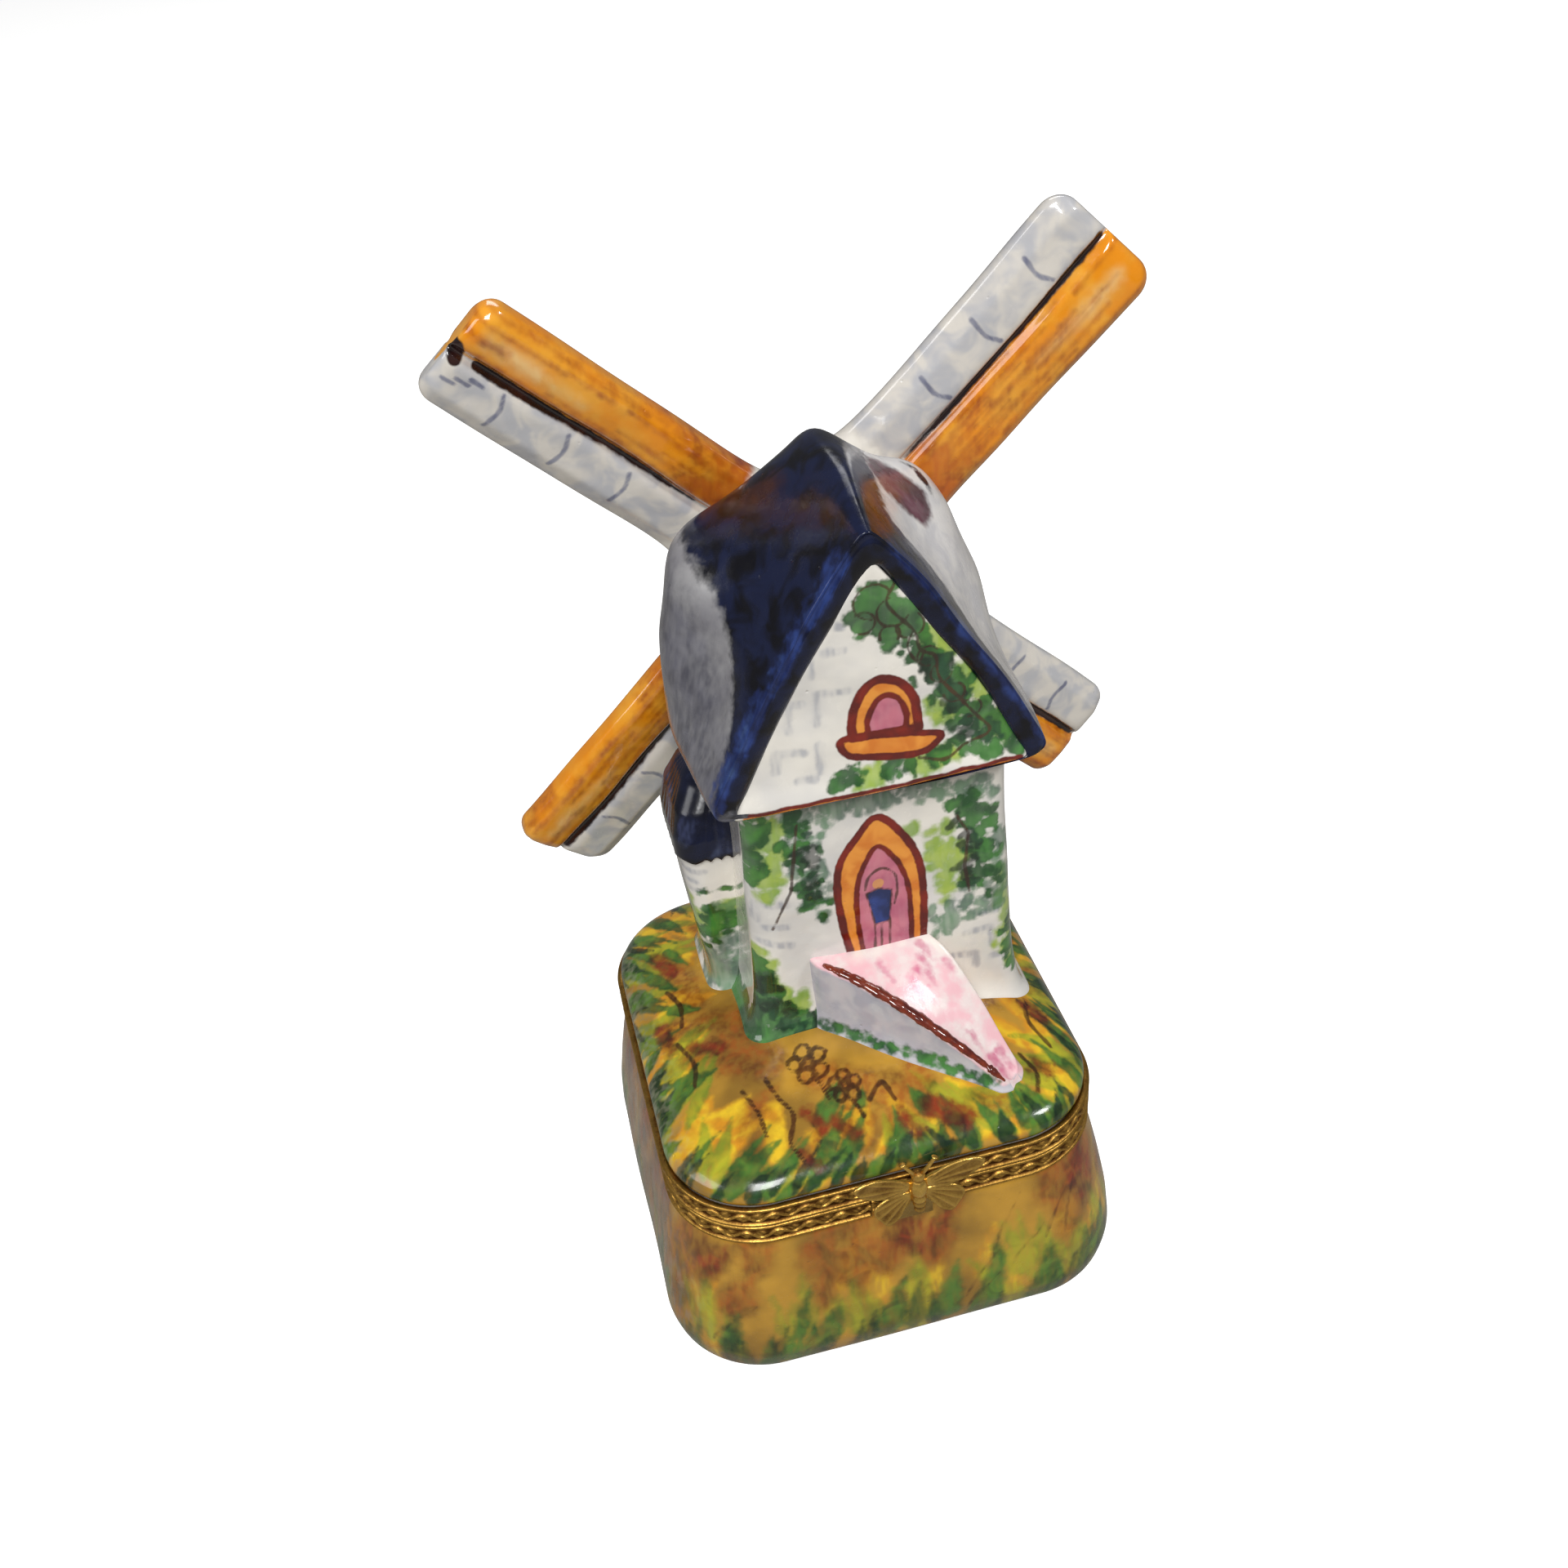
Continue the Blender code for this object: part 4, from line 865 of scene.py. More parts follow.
def makeRamp():
    plan = rampPlan
    edges = np.array(plan["rows"])
    rows = curveThrough(edges, 12)
    rings = []
    for leftX, leftY, rightX, rightY, top in rows:
        foot = moundHeight(np.array([leftX, rightX]), np.array([leftY, rightY])) - 1.0
        sag = ((leftX + rightX) / 2, (leftY + rightY) / 2, top - plan["sag"])
        outline = [(leftX, leftY, foot[0]), (leftX, leftY, top), sag, (rightX, rightY, top - 0.2),
                   (rightX + 0.4, rightY, foot[1])]
        outline = np.array(outline)
        steps = np.linalg.norm(np.diff(np.vstack([outline, outline[:1]]), axis=0), axis=1)
        along = np.concatenate([[0], np.cumsum(steps)]) / steps.sum()
        places = np.concatenate([np.linspace(along[k], along[k + 1], count, endpoint=False)
                                 for k, count in enumerate((34, 24, 24, 30, 24))])
        closed = np.vstack([outline, outline[:1]])
        ring = np.stack([np.interp(places, along, closed[:, k]) for k in range(3)], 1)
        rings.append(soften(ring, 3, closed=True))
    rings = np.array(rings)
    # round the lower end over
    for step, row in enumerate(range(len(rings) - 5, len(rings))):
        middle = rings[row].mean(0)
        shrink = math.sqrt(max(0.0, 1 - ((step + 1) / 5.6) ** 2))
        rings[row] = middle + (rings[row] - middle) * (shrink, shrink, 1)
    flat = rings.reshape(-1, 3)
    flareFoot(flat, np.array([8.0, -6.0]), 1.0, 0.9)
    leftEdge = edges[:, [0, 1, 4]]
    # how far below the upper left edge a point of the pale side lies
    heights = np.interp(flat[:, 0], leftEdge[:, 0], leftEdge[:, 2])
    ahead = np.interp(flat[:, 0], leftEdge[:, 0], leftEdge[:, 1])
    sideGap = np.maximum(flat[:, 2] - heights + 0.3, flat[:, 1] - ahead - 0.9)
    dice = np.random.default_rng(81)
    strokes = []
    for _ in range(plan["strokes"]):
        t = dice.uniform(0.05, 0.95)
        row = rows[int(t * (len(rows) - 1))]
        across = dice.uniform(0.35, 0.9)
        start = np.array([row[0] + (row[2] - row[0]) * across, row[1] + (row[3] - row[1]) * across, row[4]])
        strokes.append((np.array([start, start + (1.0, -1.6, -1.4)]), np.array([0.45, 0.1])))
    bush = []
    for x in dice.uniform(-4.6, 11.5, plan["leaves"]):
        edge = np.interp(x, leftEdge[:, 0], leftEdge[:, 1])
        spot = np.array([x, edge - dice.uniform(0.0, 0.4),
                         float(moundHeight(np.array([x]), np.array([edge]))[0])])
        lean = (dice.normal(0, 0.4), dice.normal(0, 0.3), dice.uniform(0.2, 0.9))
        bush.append((np.array([spot, spot + lean]), dice.uniform(0.3, 0.65)))
    fade = [(((1.0, -6.8, 41.9), (8.6, -6.8, 41.6), (11.4, -9.0, 39.2), (13.2, -12.0, 35.8)), 0.9)]
    fields = {"fade": strokeField(flat, fade), "magenta": strokeField(flat, strokes),
              "side": np.clip(sideGap, -3, fieldReach), "leaf": strokeField(flat, bush)}
    look = rampLook
    layers = coats(look, fade=(1.1, 0.4, 0.9), magenta=(0.35, 0.4, 0.8), side=(0.2, 0.15, 0.95),
                   leaf=(0.3, 0.5, 0.97))
    material = glazed("rampGlaze", look["pink"], look["pale"], layers, mottle=(0.5, 3.0), coat=0.30,
                      sheen=0.28)
    makePiece("rampPath", loftSolid(rings), material, "lid", ["ramp"], fields)

    line = curveThrough(leftEdge[1:] + (0.35, 0.15, 0.12), 14)
    heading = np.gradient(line, axis=0)
    heading /= np.linalg.norm(heading, axis=1)[:, None]
    tube = []
    for k, (spot, ahead) in enumerate(zip(line, heading)):
        t = k / (len(line) - 1)
        if t < 0.86:
            thick = 0.16 + 0.42 * math.sin(math.pi * min(1.0, t * 1.15)) ** 0.6
        else:
            thick = 0.40 * (1 - t) / 0.14 + 0.12
        across = np.cross(ahead, (0, 0, 1))
        across /= np.linalg.norm(across)
        lift = np.cross(across, ahead)
        angles = np.linspace(0, 2 * math.pi, 14, endpoint=False)
        lump = 1 + 0.12 * math.sin(k * 0.9) + 0.08 * math.sin(k * 2.3)
        tube.append(spot + thick * lump * (np.cos(angles)[:, None] * across * 1.15
                                           + np.sin(angles)[:, None] * lift * 0.7))
    makePiece("rampLine", loftSolid(np.array(tube)),
              glazed("rampLineGlaze", colour(0.20, 0.030, 0.012), colour(0.09, 0.012, 0.008), uneven=0.4,
                     mottle=(0.9, 3.0)),
              "lid", ["ramp_rail"])


makeTower()
makeAnnex()
makeAnnexRoof()
makeRamp()

# cap and gable

capSections = (  # y, then reach to the left, to the right and height, from the ridge down to the eave
    (-8.8, ((1.0, 1.0, 91.0), (5.8, 5.8, 84.2), (10.3, 10.2, 77.0), (14.0, 13.9, 70.2),
            (16.6, 16.6, 65.1))),
    (-5.0, ((1.2, 1.2, 91.9), (6.4, 5.8, 85.3), (11.2, 10.2, 78.4), (15.0, 14.0, 71.3),
            (17.4, 17.1, 65.5))),
    (0.0, ((1.4, 1.4, 92.6), (7.4, 6.0, 86.2), (13.2, 10.4, 80.0), (16.7, 14.2, 72.9), (18.1, 17.4, 65.8))),
    (5.5, ((1.6, 1.6, 92.9), (8.8, 7.0, 87.2), (15.2, 12.0, 82.0), (17.7, 15.0, 74.8), (18.1, 17.2, 66.1))),
    (10.0, ((1.6, 1.6, 92.5), (9.0, 7.8, 87.3), (14.9, 12.8, 82.7), (17.2, 15.8, 75.2),
            (17.4, 16.8, 66.3))),
    (13.6, ((1.2, 1.2, 89.8), (7.0, 7.0, 85.2), (11.8, 11.8, 81.2), (14.6, 14.6, 74.8),
            (15.6, 15.6, 66.4))),
    (15.8, ((0.8, 0.8, 84.6), (4.6, 4.6, 81.8), (8.0, 8.0, 78.6), (9.8, 9.8, 73.9), (10.2, 10.2, 66.4))),
)
gableHalf, gableFoot, gableApex = 14.4, 64.2, 88.6


def capLoop(side, lift=1.6):
    right = [(reach, z) for _, reach, z in side]
    left = [(-reach, z) for reach, _, z in side]
    under = [(right[-1][0] - 0.6, 63.9), (left[-1][0] + 0.6, 63.9)]
    outline = np.array([(0.0, side[0][2] + lift), *right, *under, *left[::-1]])
    closed = np.vstack([outline, outline[:1]])
    counts = (4, 20, 20, 20, 20, 6, 50, 6, 20, 20, 20, 20, 4)
    made = []
    for start, end, count in zip(closed, closed[1:], counts):
        made.append(start + (end - start) * (np.arange(count) / count)[:, None])
    return soften(np.vstack(made), 16, closed=True)


def bumpOut(flat, centre, middle, height, width):
    away = np.linalg.norm(flat - centre, axis=1)
    heading = flat - middle
    heading /= np.linalg.norm(heading, axis=1)[:, None]
    flat += heading * (height * np.exp(-(away / width) ** 2))[:, None]


def gableReach(t):
    # half the width of the gable from its foot, 0, to its apex, 1; the sides swell a little
    return gableHalf * (1 - t) + 0.9 * np.sin(np.pi * t)


def gableLoop():
    # the gable's outline, matched point for point to the cap's loop
    side = [(gableReach(t), gableReach(t), gableFoot + (gableApex - gableFoot) * t)
            for t in np.linspace(1, 0, 6)]
    side[0] = (0.5, 0.5, gableApex)
    return side


def alongRake(t, sign):
    # a place on the front edge of the roof, from the ridge, 0, to the eave, 1
    side = np.array(capSections[0][1])
    places = np.linspace(0, 1, len(side))
    return np.array([millX + sign * np.interp(t, places, side[:, 0 if sign < 0 else 1]), -8.6,
                     np.interp(t, places, side[:, 2])])


def rakeStrokes(count, seed, length, width, across, signs=(-1, 1), low=0.0):
    dice = np.random.default_rng(seed)
    made = []
    for _ in range(count):
        sign = dice.choice(signs)
        t = dice.uniform(low, 0.96)
        back = np.array([0, dice.uniform(*across), 0])
        span = dice.uniform(*length)
        path = [alongRake(min(1.0, t + step * span), sign) + back * (1 - 0.4 * step)
                for step in (0, 0.5, 1)]
        made.append((np.array(path), np.array([0.5, 1.0, 0.2]) * dice.uniform(*width)))
    return made


greyFacet = ((13.5, 84.5), (9.4, 84.8), (5.6, 83.6), (2.4, 82.2), (0.2, 79.9), (-2.2, 76.9), (-5.0, 73.4),
             (-6.6, 69.9), (-7.4, 67.0), (-7.4, 62.0), (17.0, 62.0), (17.0, 82.0))


def makeCap():
    table = np.array([[y, *np.ravel(side)] for y, side in capSections])
    body = []
    for row in curveThrough(table, 9):
        loop = capLoop(row[1:].reshape(-1, 3))
        body.append(np.column_stack([loop[:, 0] + millX, np.full(len(loop), row[0]), loop[:, 1]]))
    body = soften(np.array(body), 8)
    face = capLoop(gableLoop(), 0.0)
    edge = body[0][:, [0, 2]] - (millX, 0)
    centre = face.mean(0)
    core = centre + (face - centre) * 0.96
    front = [np.column_stack([core[:, 0] + millX, np.full(len(core), -6.2), core[:, 1]])]
    for t in np.linspace(0, 1, 10):           # the rim rolls over from the gable to the roof
        share = t ** 0.9
        loop = face + (edge - face) * share
        depth = -7.6 - 1.15 * math.sin(math.pi * min(0.62, 0.12 + 0.5 * t)) ** 0.7
        front.append(np.column_stack([loop[:, 0] + millX, np.full(len(loop), depth), loop[:, 1]]))
    body[0][:, 1] = -8.2
    front.pop()
    rings = np.concatenate([front, body])
    flat = rings.reshape(-1, 3)
    middle = np.array([millX, 2.0, 72.0])
    bumpOut(flat, np.array([millX - 12.0, 11.0, 84.0]), middle, 1.2, 4.6)
    bumpOut(flat, np.array([millX + 9.6, 10.6, 86.2]), middle, 1.6, 3.6)
    # a scoop in each slope, deeper on the left
    for sign, depth in ((-1, 2.2), (1, 0.5)):
        scoop = np.exp(-((flat[:, 0] - millX - sign * 14.0) / 5.5) ** 2 - ((flat[:, 1] - 0.5) / 5.0) ** 2
                       - ((flat[:, 2] - 74.0) / 7.5) ** 2)
        flat[:, 0] -= sign * depth * scoop * 0.85
        flat[:, 2] -= depth * scoop * 0.5
    flat += wave(flat, 12, 91)[:, None] * 0.14
    x, y, z = flat[:, 0] - millX, flat[:, 1], flat[:, 2]
    slope = np.column_stack([y, z])
    grey = fillGap(slope, curveThrough(greyFacet, 4, closed=True))
    rakeEdge = y + 6.2 - 5.0 * np.clip((z - 70) / 20, 0, 1) ** 1.2
    ridgeEdge = x - 3.4 - 0.05 * (y + 9)

    def lines(path, width):
        return np.array(path) + (millX, 0, 0), width

    # a dark arc round the top of the right slope
    arc = curveThrough(((3.4, 1.0, 91.0), (5.4, 6.8, 90.4), (8.6, 9.6, 88.6), (10.8, 7.8, 85.6),
                        (11.4, 4.6, 83.4)), 6)
    arcWidths = np.interp(np.linspace(0, 1, len(arc)), (0, 0.3, 0.7, 1), (0.4, 0.6, 0.5, 0.2))
    fields = {
        "milk": np.clip(2.6 - x, -3, fieldReach),
        # painted shade: the left facet and the lower slopes are washed dark grey
        "haze": np.clip(np.where(x < 0, np.minimum((z - 73.5) * 0.33, grey + 2.2),
                                 np.maximum((z - 69.5) * 0.6, y + 1.0)), -3, fieldReach),
        "ink": np.clip(np.where(x < 0, -grey, np.minimum(ridgeEdge, rakeEdge)), -3, fieldReach),
        "cobalt": strokeField(flat, rakeStrokes(210, 95, (0.06, 0.2), (0.30, 0.75), (-0.4, 2.2), low=0.02)),
        # painted highlight: pale blue streaks along the rakes and down beside the ridge
        "ice": strokeField(flat, rakeStrokes(34, 96, (0.06, 0.2), (0.14, 0.34), (0.3, 1.8), (1, 1, -1))
                           + [lines(((-1.6, -1.5, 90.0), (-3.0, -4.0, 87.6), (-4.6, -5.4, 84.6)),
                                    (0.5, 0.7, 0.2)),
                              lines(((-3.6, 0.5, 88.6), (-4.6, -2.0, 86.4)), 0.45),
                              lines(((-5.6, -3.6, 82.4), (-7.0, -4.6, 79.6)), (0.4, 0.15))]),
        # painted reflection: a dark brown patch on the left slope, where the spar roots are mirrored
        "brown": strokeField(flat, [lines(((-5.2, 6.4, 89.2), (-7.6, 8.0, 87.4)), 1.9)]) + 3.0 * (x > -1.5),
        # painted highlight: a small plum spot on the left bump
        "plum": strokeField(flat, [lines(((-8.2, 7.4, 87.2),), 0.5)]),
        # painted reflection: a wine-red patch by the right bump, where the spar roots are mirrored
        "wine": strokeField(flat, [lines(((5.6, 5.6, 88.9), (8.4, 5.0, 86.4)), (2.6, 2.5))]),
        "arc": strokeField(flat, [lines(arc, arcWidths)]),
    }
    look = navyLook
    layers = coats(look, milk=(0.5, 0.3, 1.0), haze=(2.6, 0.9, 0.8), ink=(0.55, 0.5, 1.0),
                   cobalt=(0.3, 0.35, 0.85), ice=(0.3, 0.4, 0.6), brown=(1.2, 0.6, 0.9),
                   plum=(0.6, 0.3, 0.9), arc=(0.25, 0.3, 1.0), wine=(0.5, 0.4, 0.95))
    material = glazed("capGlaze", look["mist"], look["dusk"], layers, mottle=(0.2, 3.0), coat=0.30,
                      sheen=0.20)
    makePiece("capRoof", loftSolid(rings), material, "lid", ["cap_roof"], fields)


gablePlan = {  # x from the middle and height above the gable's foot
    "window": ((-2.6, 6.4), (-2.7, 8.0), (-2.0, 10.4), (-0.9, 12.0), (0.6, 12.4), (2.2, 11.5), (3.4, 9.4),
               (3.8, 6.0)),
    "pane": ((-1.15, 6.5), (-1.1, 8.1), (-0.3, 9.9), (0.7, 10.5), (1.9, 9.8), (2.6, 8.1), (2.5, 6.1)),
    "sill": ((-3.6, 6.5), (1.0, 5.9), (5.6, 4.9), (5.4, 3.9), (3.4, 3.2), (-1.8, 4.0), (-3.4, 4.8)),
}


def makeGable():
    heights = np.linspace(0, 1, 120)
    across = np.linspace(-1, 1, 124)
    sheets = []
    for depth, sign in ((-8.05, -1), (-5.8, 1)):
        rows = []
        for t in heights:
            half = max(gableReach(t) + 0.3, 0.45)
            x = across * half
            edge = np.clip((half - np.abs(x)) / 0.9, 0, 1)
            lip = np.clip(t * 24 / 0.9, 0, 1)
            roundness = np.sqrt(1 - (1 - edge) ** 2) * 0.5 + np.sqrt(1 - (1 - lip) ** 2) * 0.5
            swell = 0.7 * math.exp(-(t * 24.4 / 2.2) ** 2) if sign < 0 else 0.0
            bow = -0.25 * np.cos(x / gableHalf * 1.4) if sign < 0 else 0 * x
            y = depth - sign * 0.5 * (1 - roundness) - swell + bow
            z = gableFoot - 0.35 + (gableApex - gableFoot + 0.35) * t
            rows.append(np.column_stack([x + millX, y, np.full(len(x), z)]))
        sheets.append(np.array(rows))
    front, back = sheets
    loops = np.concatenate([front, back[:, ::-1]], axis=1)
    shape = loftSolid(loops)
    flat = loops.reshape(-1, 3)
    flat += wave(flat, 11, 101)[:, None] * (0, 0.12, 0)
    shape[0][:len(flat)] = flat
    facing = flat[:, 1] < -7.0
    foot = 64.0

    def strokes(*items):
        return frontField(flat, foot, facing, items)

    window, pane = (curveThrough(gablePlan[key], 6) for key in ("window", "pane"))
    sill = curveThrough(gablePlan["sill"], 5, closed=True)
    stones = [((-6.1, 14.2), (-6.0, 16.5), (-3.0, 16.2)), ((-6.0, 8.9), (-5.7, 12.1), (-2.9, 11.9)),
              ((-8.6, 8.6), (-8.5, 11.4), (-7.1, 11.3)), ((-10.2, 4.3), (-10.0, 6.4), (-7.4, 5.9)),
              ((-5.9, 6.4), (-6.0, 3.4)), ((-4.4, 19.2), (-2.9, 18.7)), ((-8.2, 3.0), (-6.6, 2.8))]
    blobs = (((0.0, 20.6), 1.9), ((1.8, 19.2), 1.6), ((3.3, 17.5), 1.4), ((-1.0, 18.6), 1.2),
             ((1.4, 16.9), 1.0), ((4.9, 13.8), 1.1), ((6.1, 11.7), 1.1), ((7.3, 9.2), 1.1),
             ((8.9, 7.0), 1.1), ((9.9, 4.9), 1.1))
    leaves = [((centre,), radius) for centre, radius in blobs]
    leaves += (dabs(((-0.6, 21.4), (1.4, 21.0), (2.4, 18.8), (0.6, 18.2), (-0.8, 19.6)), 60, 0.66, 0.9, 111)
              + dabs(((3.0, 17.0), (5.0, 13.0), (6.8, 10.4), (8.6, 7.0)), 100, 0.55, 0.75, 112)
              + dabs(((8.6, 7.0), (10.6, 4.6), (13.2, 2.0)), 80, 0.5, 0.7, 113)
              + dabs(((-4.8, 1.8), (-3.6, 2.6), (-2.4, 2.0)), 34, 0.45, 0.35, 114)
              + dabs(((0.4, 1.8), (1.4, 2.6), (2.2, 2.0)), 22, 0.4, 0.3, 115)
              + dabs(((4.6, 2.4), (8.4, 2.8), (11.0, 1.6)), 44, 0.45, 0.4, 116))
    deep = (dabs(((4.8, 13.4), (6.2, 10.6), (7.6, 7.6)), 34, 0.6, 0.45, 117)
            + dabs(((8.0, 5.0), (11.4, 3.2)), 24, 0.4, 0.4, 118))
    lime = (dabs(((5.2, 16.2), (6.6, 14.4)), 16, 0.9, 0.4, 119)
            + dabs(((8.6, 11.4), (10.2, 8.0)), 18, 0.8, 0.4, 120)
            + dabs(((5.6, 8.2), (6.0, 6.4)), 12, 0.7, 0.3, 121)
            + dabs(((-1.8, 1.4), (-0.4, 2.2)), 14, 0.7, 0.3, 122)
            + dabs(((3.0, 1.8), (7.4, 2.0)), 24, 0.7, 0.35, 123)
            + dabs(((11.0, 5.4), (12.6, 3.0)), 14, 0.6, 0.3, 124))
    vine = curveThrough(((2.2, 22.2), (1.3, 20.1), (3.6, 16.9), (4.2, 14.6), (5.6, 13.6), (5.9, 11.2),
                         (7.9, 8.3), (9.5, 5.9), (10.8, 3.7), (8.2, 2.9), (6.2, 1.9), (3.6, 2.7)), 7)
    shoot = curveThrough(((3.6, 16.9), (3.0, 15.2), (3.9, 13.4), (4.6, 14.4)), 6)
    outlines = []
    for number, ((x, z), radius) in enumerate(blobs[:9]):
        angles = np.linspace(0.4 + number * 1.3, 4.6 + number * 1.3, 12)
        outlines.append((np.column_stack([x + radius * 0.95 * np.cos(angles),
                                          z + radius * 0.95 * np.sin(angles)]), 0.11))
    footLine = curveThrough([(x, 0.35 + 0.10 * math.sin(x * 1.7)) for x in np.linspace(-13.6, 13.8, 15)], 4)
    fields = {
        "stone": strokes(*[(path, 0.42) for path in stones]),
        "lime": frontField(flat, foot, facing, lime), "leaf": frontField(flat, foot, facing, leaves),
        "teal": np.full(len(flat), fieldReach), "deep": frontField(flat, foot, facing, deep),
        "rose": frontFill(flat, foot, facing, pane),
        "gold": np.minimum(np.minimum(frontFill(flat, foot, facing, window, pane),
                                      frontFill(flat, foot, facing, sill)),
                           frontField(flat, foot, facing, [(footLine - (0, 0.35), 0.30)])),
        "blue": np.full(len(flat), fieldReach), "skin": np.full(len(flat), fieldReach),
        "twig": strokes((vine, 0.17), (shoot, 0.14), *outlines),
        "frame": strokes((closedLine(window), 0.48), (pane, 0.32), (closedLine(sill), 0.38),
                         (footLine, 0.23)),
    }
    makePiece("gableFront", shape, wallPaint("gableGlaze"), "lid", ["front_gable"], fields)


makeCap()
makeGable()

# sails and hub

sailPlan = {"tilt": 4.0, "pitch": -8.0, "reach": 44.4, "root": 3.0, "spars": (7.0, 5.6, 6.2, 6.2),
            "lattice": 6.2, "sparThick": 3.8, "latticeThick": 3.0, "tipRound": 1.9}
sailLook = {
    "ochre": colour(0.80, 0.27, 0.006), "honey": colour(0.84, 0.37, 0.03),
    "cream": (colour(0.86, 0.60, 0.26), colour(0.80, 0.50, 0.16)),
    "brown": (colour(0.50, 0.11, 0.008), colour(0.24, 0.025, 0.004)),
    "ember": (colour(0.52, 0.115, 0.006), colour(0.24, 0.035, 0.004)),
    "lattice": (colour(0.68, 0.64, 0.58), colour(0.48, 0.48, 0.50)),
    "root": (wallLook["white"], colour(0.68, 0.64, 0.58)),
    "rung": (colour(0.16, 0.18, 0.28), colour(0.09, 0.10, 0.18)),
    "groove": (colour(0.030, 0.008, 0.006), colour(0.010, 0.004, 0.004)),
}
hubLow, hubHigh = nodeBox("sail_hub")
hubCentre = np.array([(hubLow[0] + hubHigh[0]) / 2, hubHigh[1] - 3.0, (hubLow[2] + hubHigh[2]) / 2])


def sailSection(spar):
    plan = sailPlan
    wide, thick, thin = plan["lattice"] + 0.15, plan["sparThick"] / 2, plan["latticeThick"] / 2
    outline = [(-spar - 0.15, 0.0), (-spar - 0.1, -thick + 1.0), (-spar + 0.9, -thick + 0.15),
               (-spar / 2, -thick), (-1.0, -thick + 0.25), (-0.4, -thin + 0.7), (0.1, -thin + 1.0),
               (0.5, -thin + 0.2), (1.2, -thin), (wide - 2.0, -thin), (wide - 0.15, -0.5), (wide, 0.4),
               (wide - 0.3, thin - 0.2), (wide - 0.9, thin), (0.6, thin), (0.2, thin - 0.6),
               (-0.3, thin - 0.5), (-0.7, thick - 0.3), (-1.4, thick), (-spar + 0.9, thick),
               (-spar - 0.1, thick - 0.9)]
    return soften(resample(outline, 0.21, closed=True), 3, closed=True)


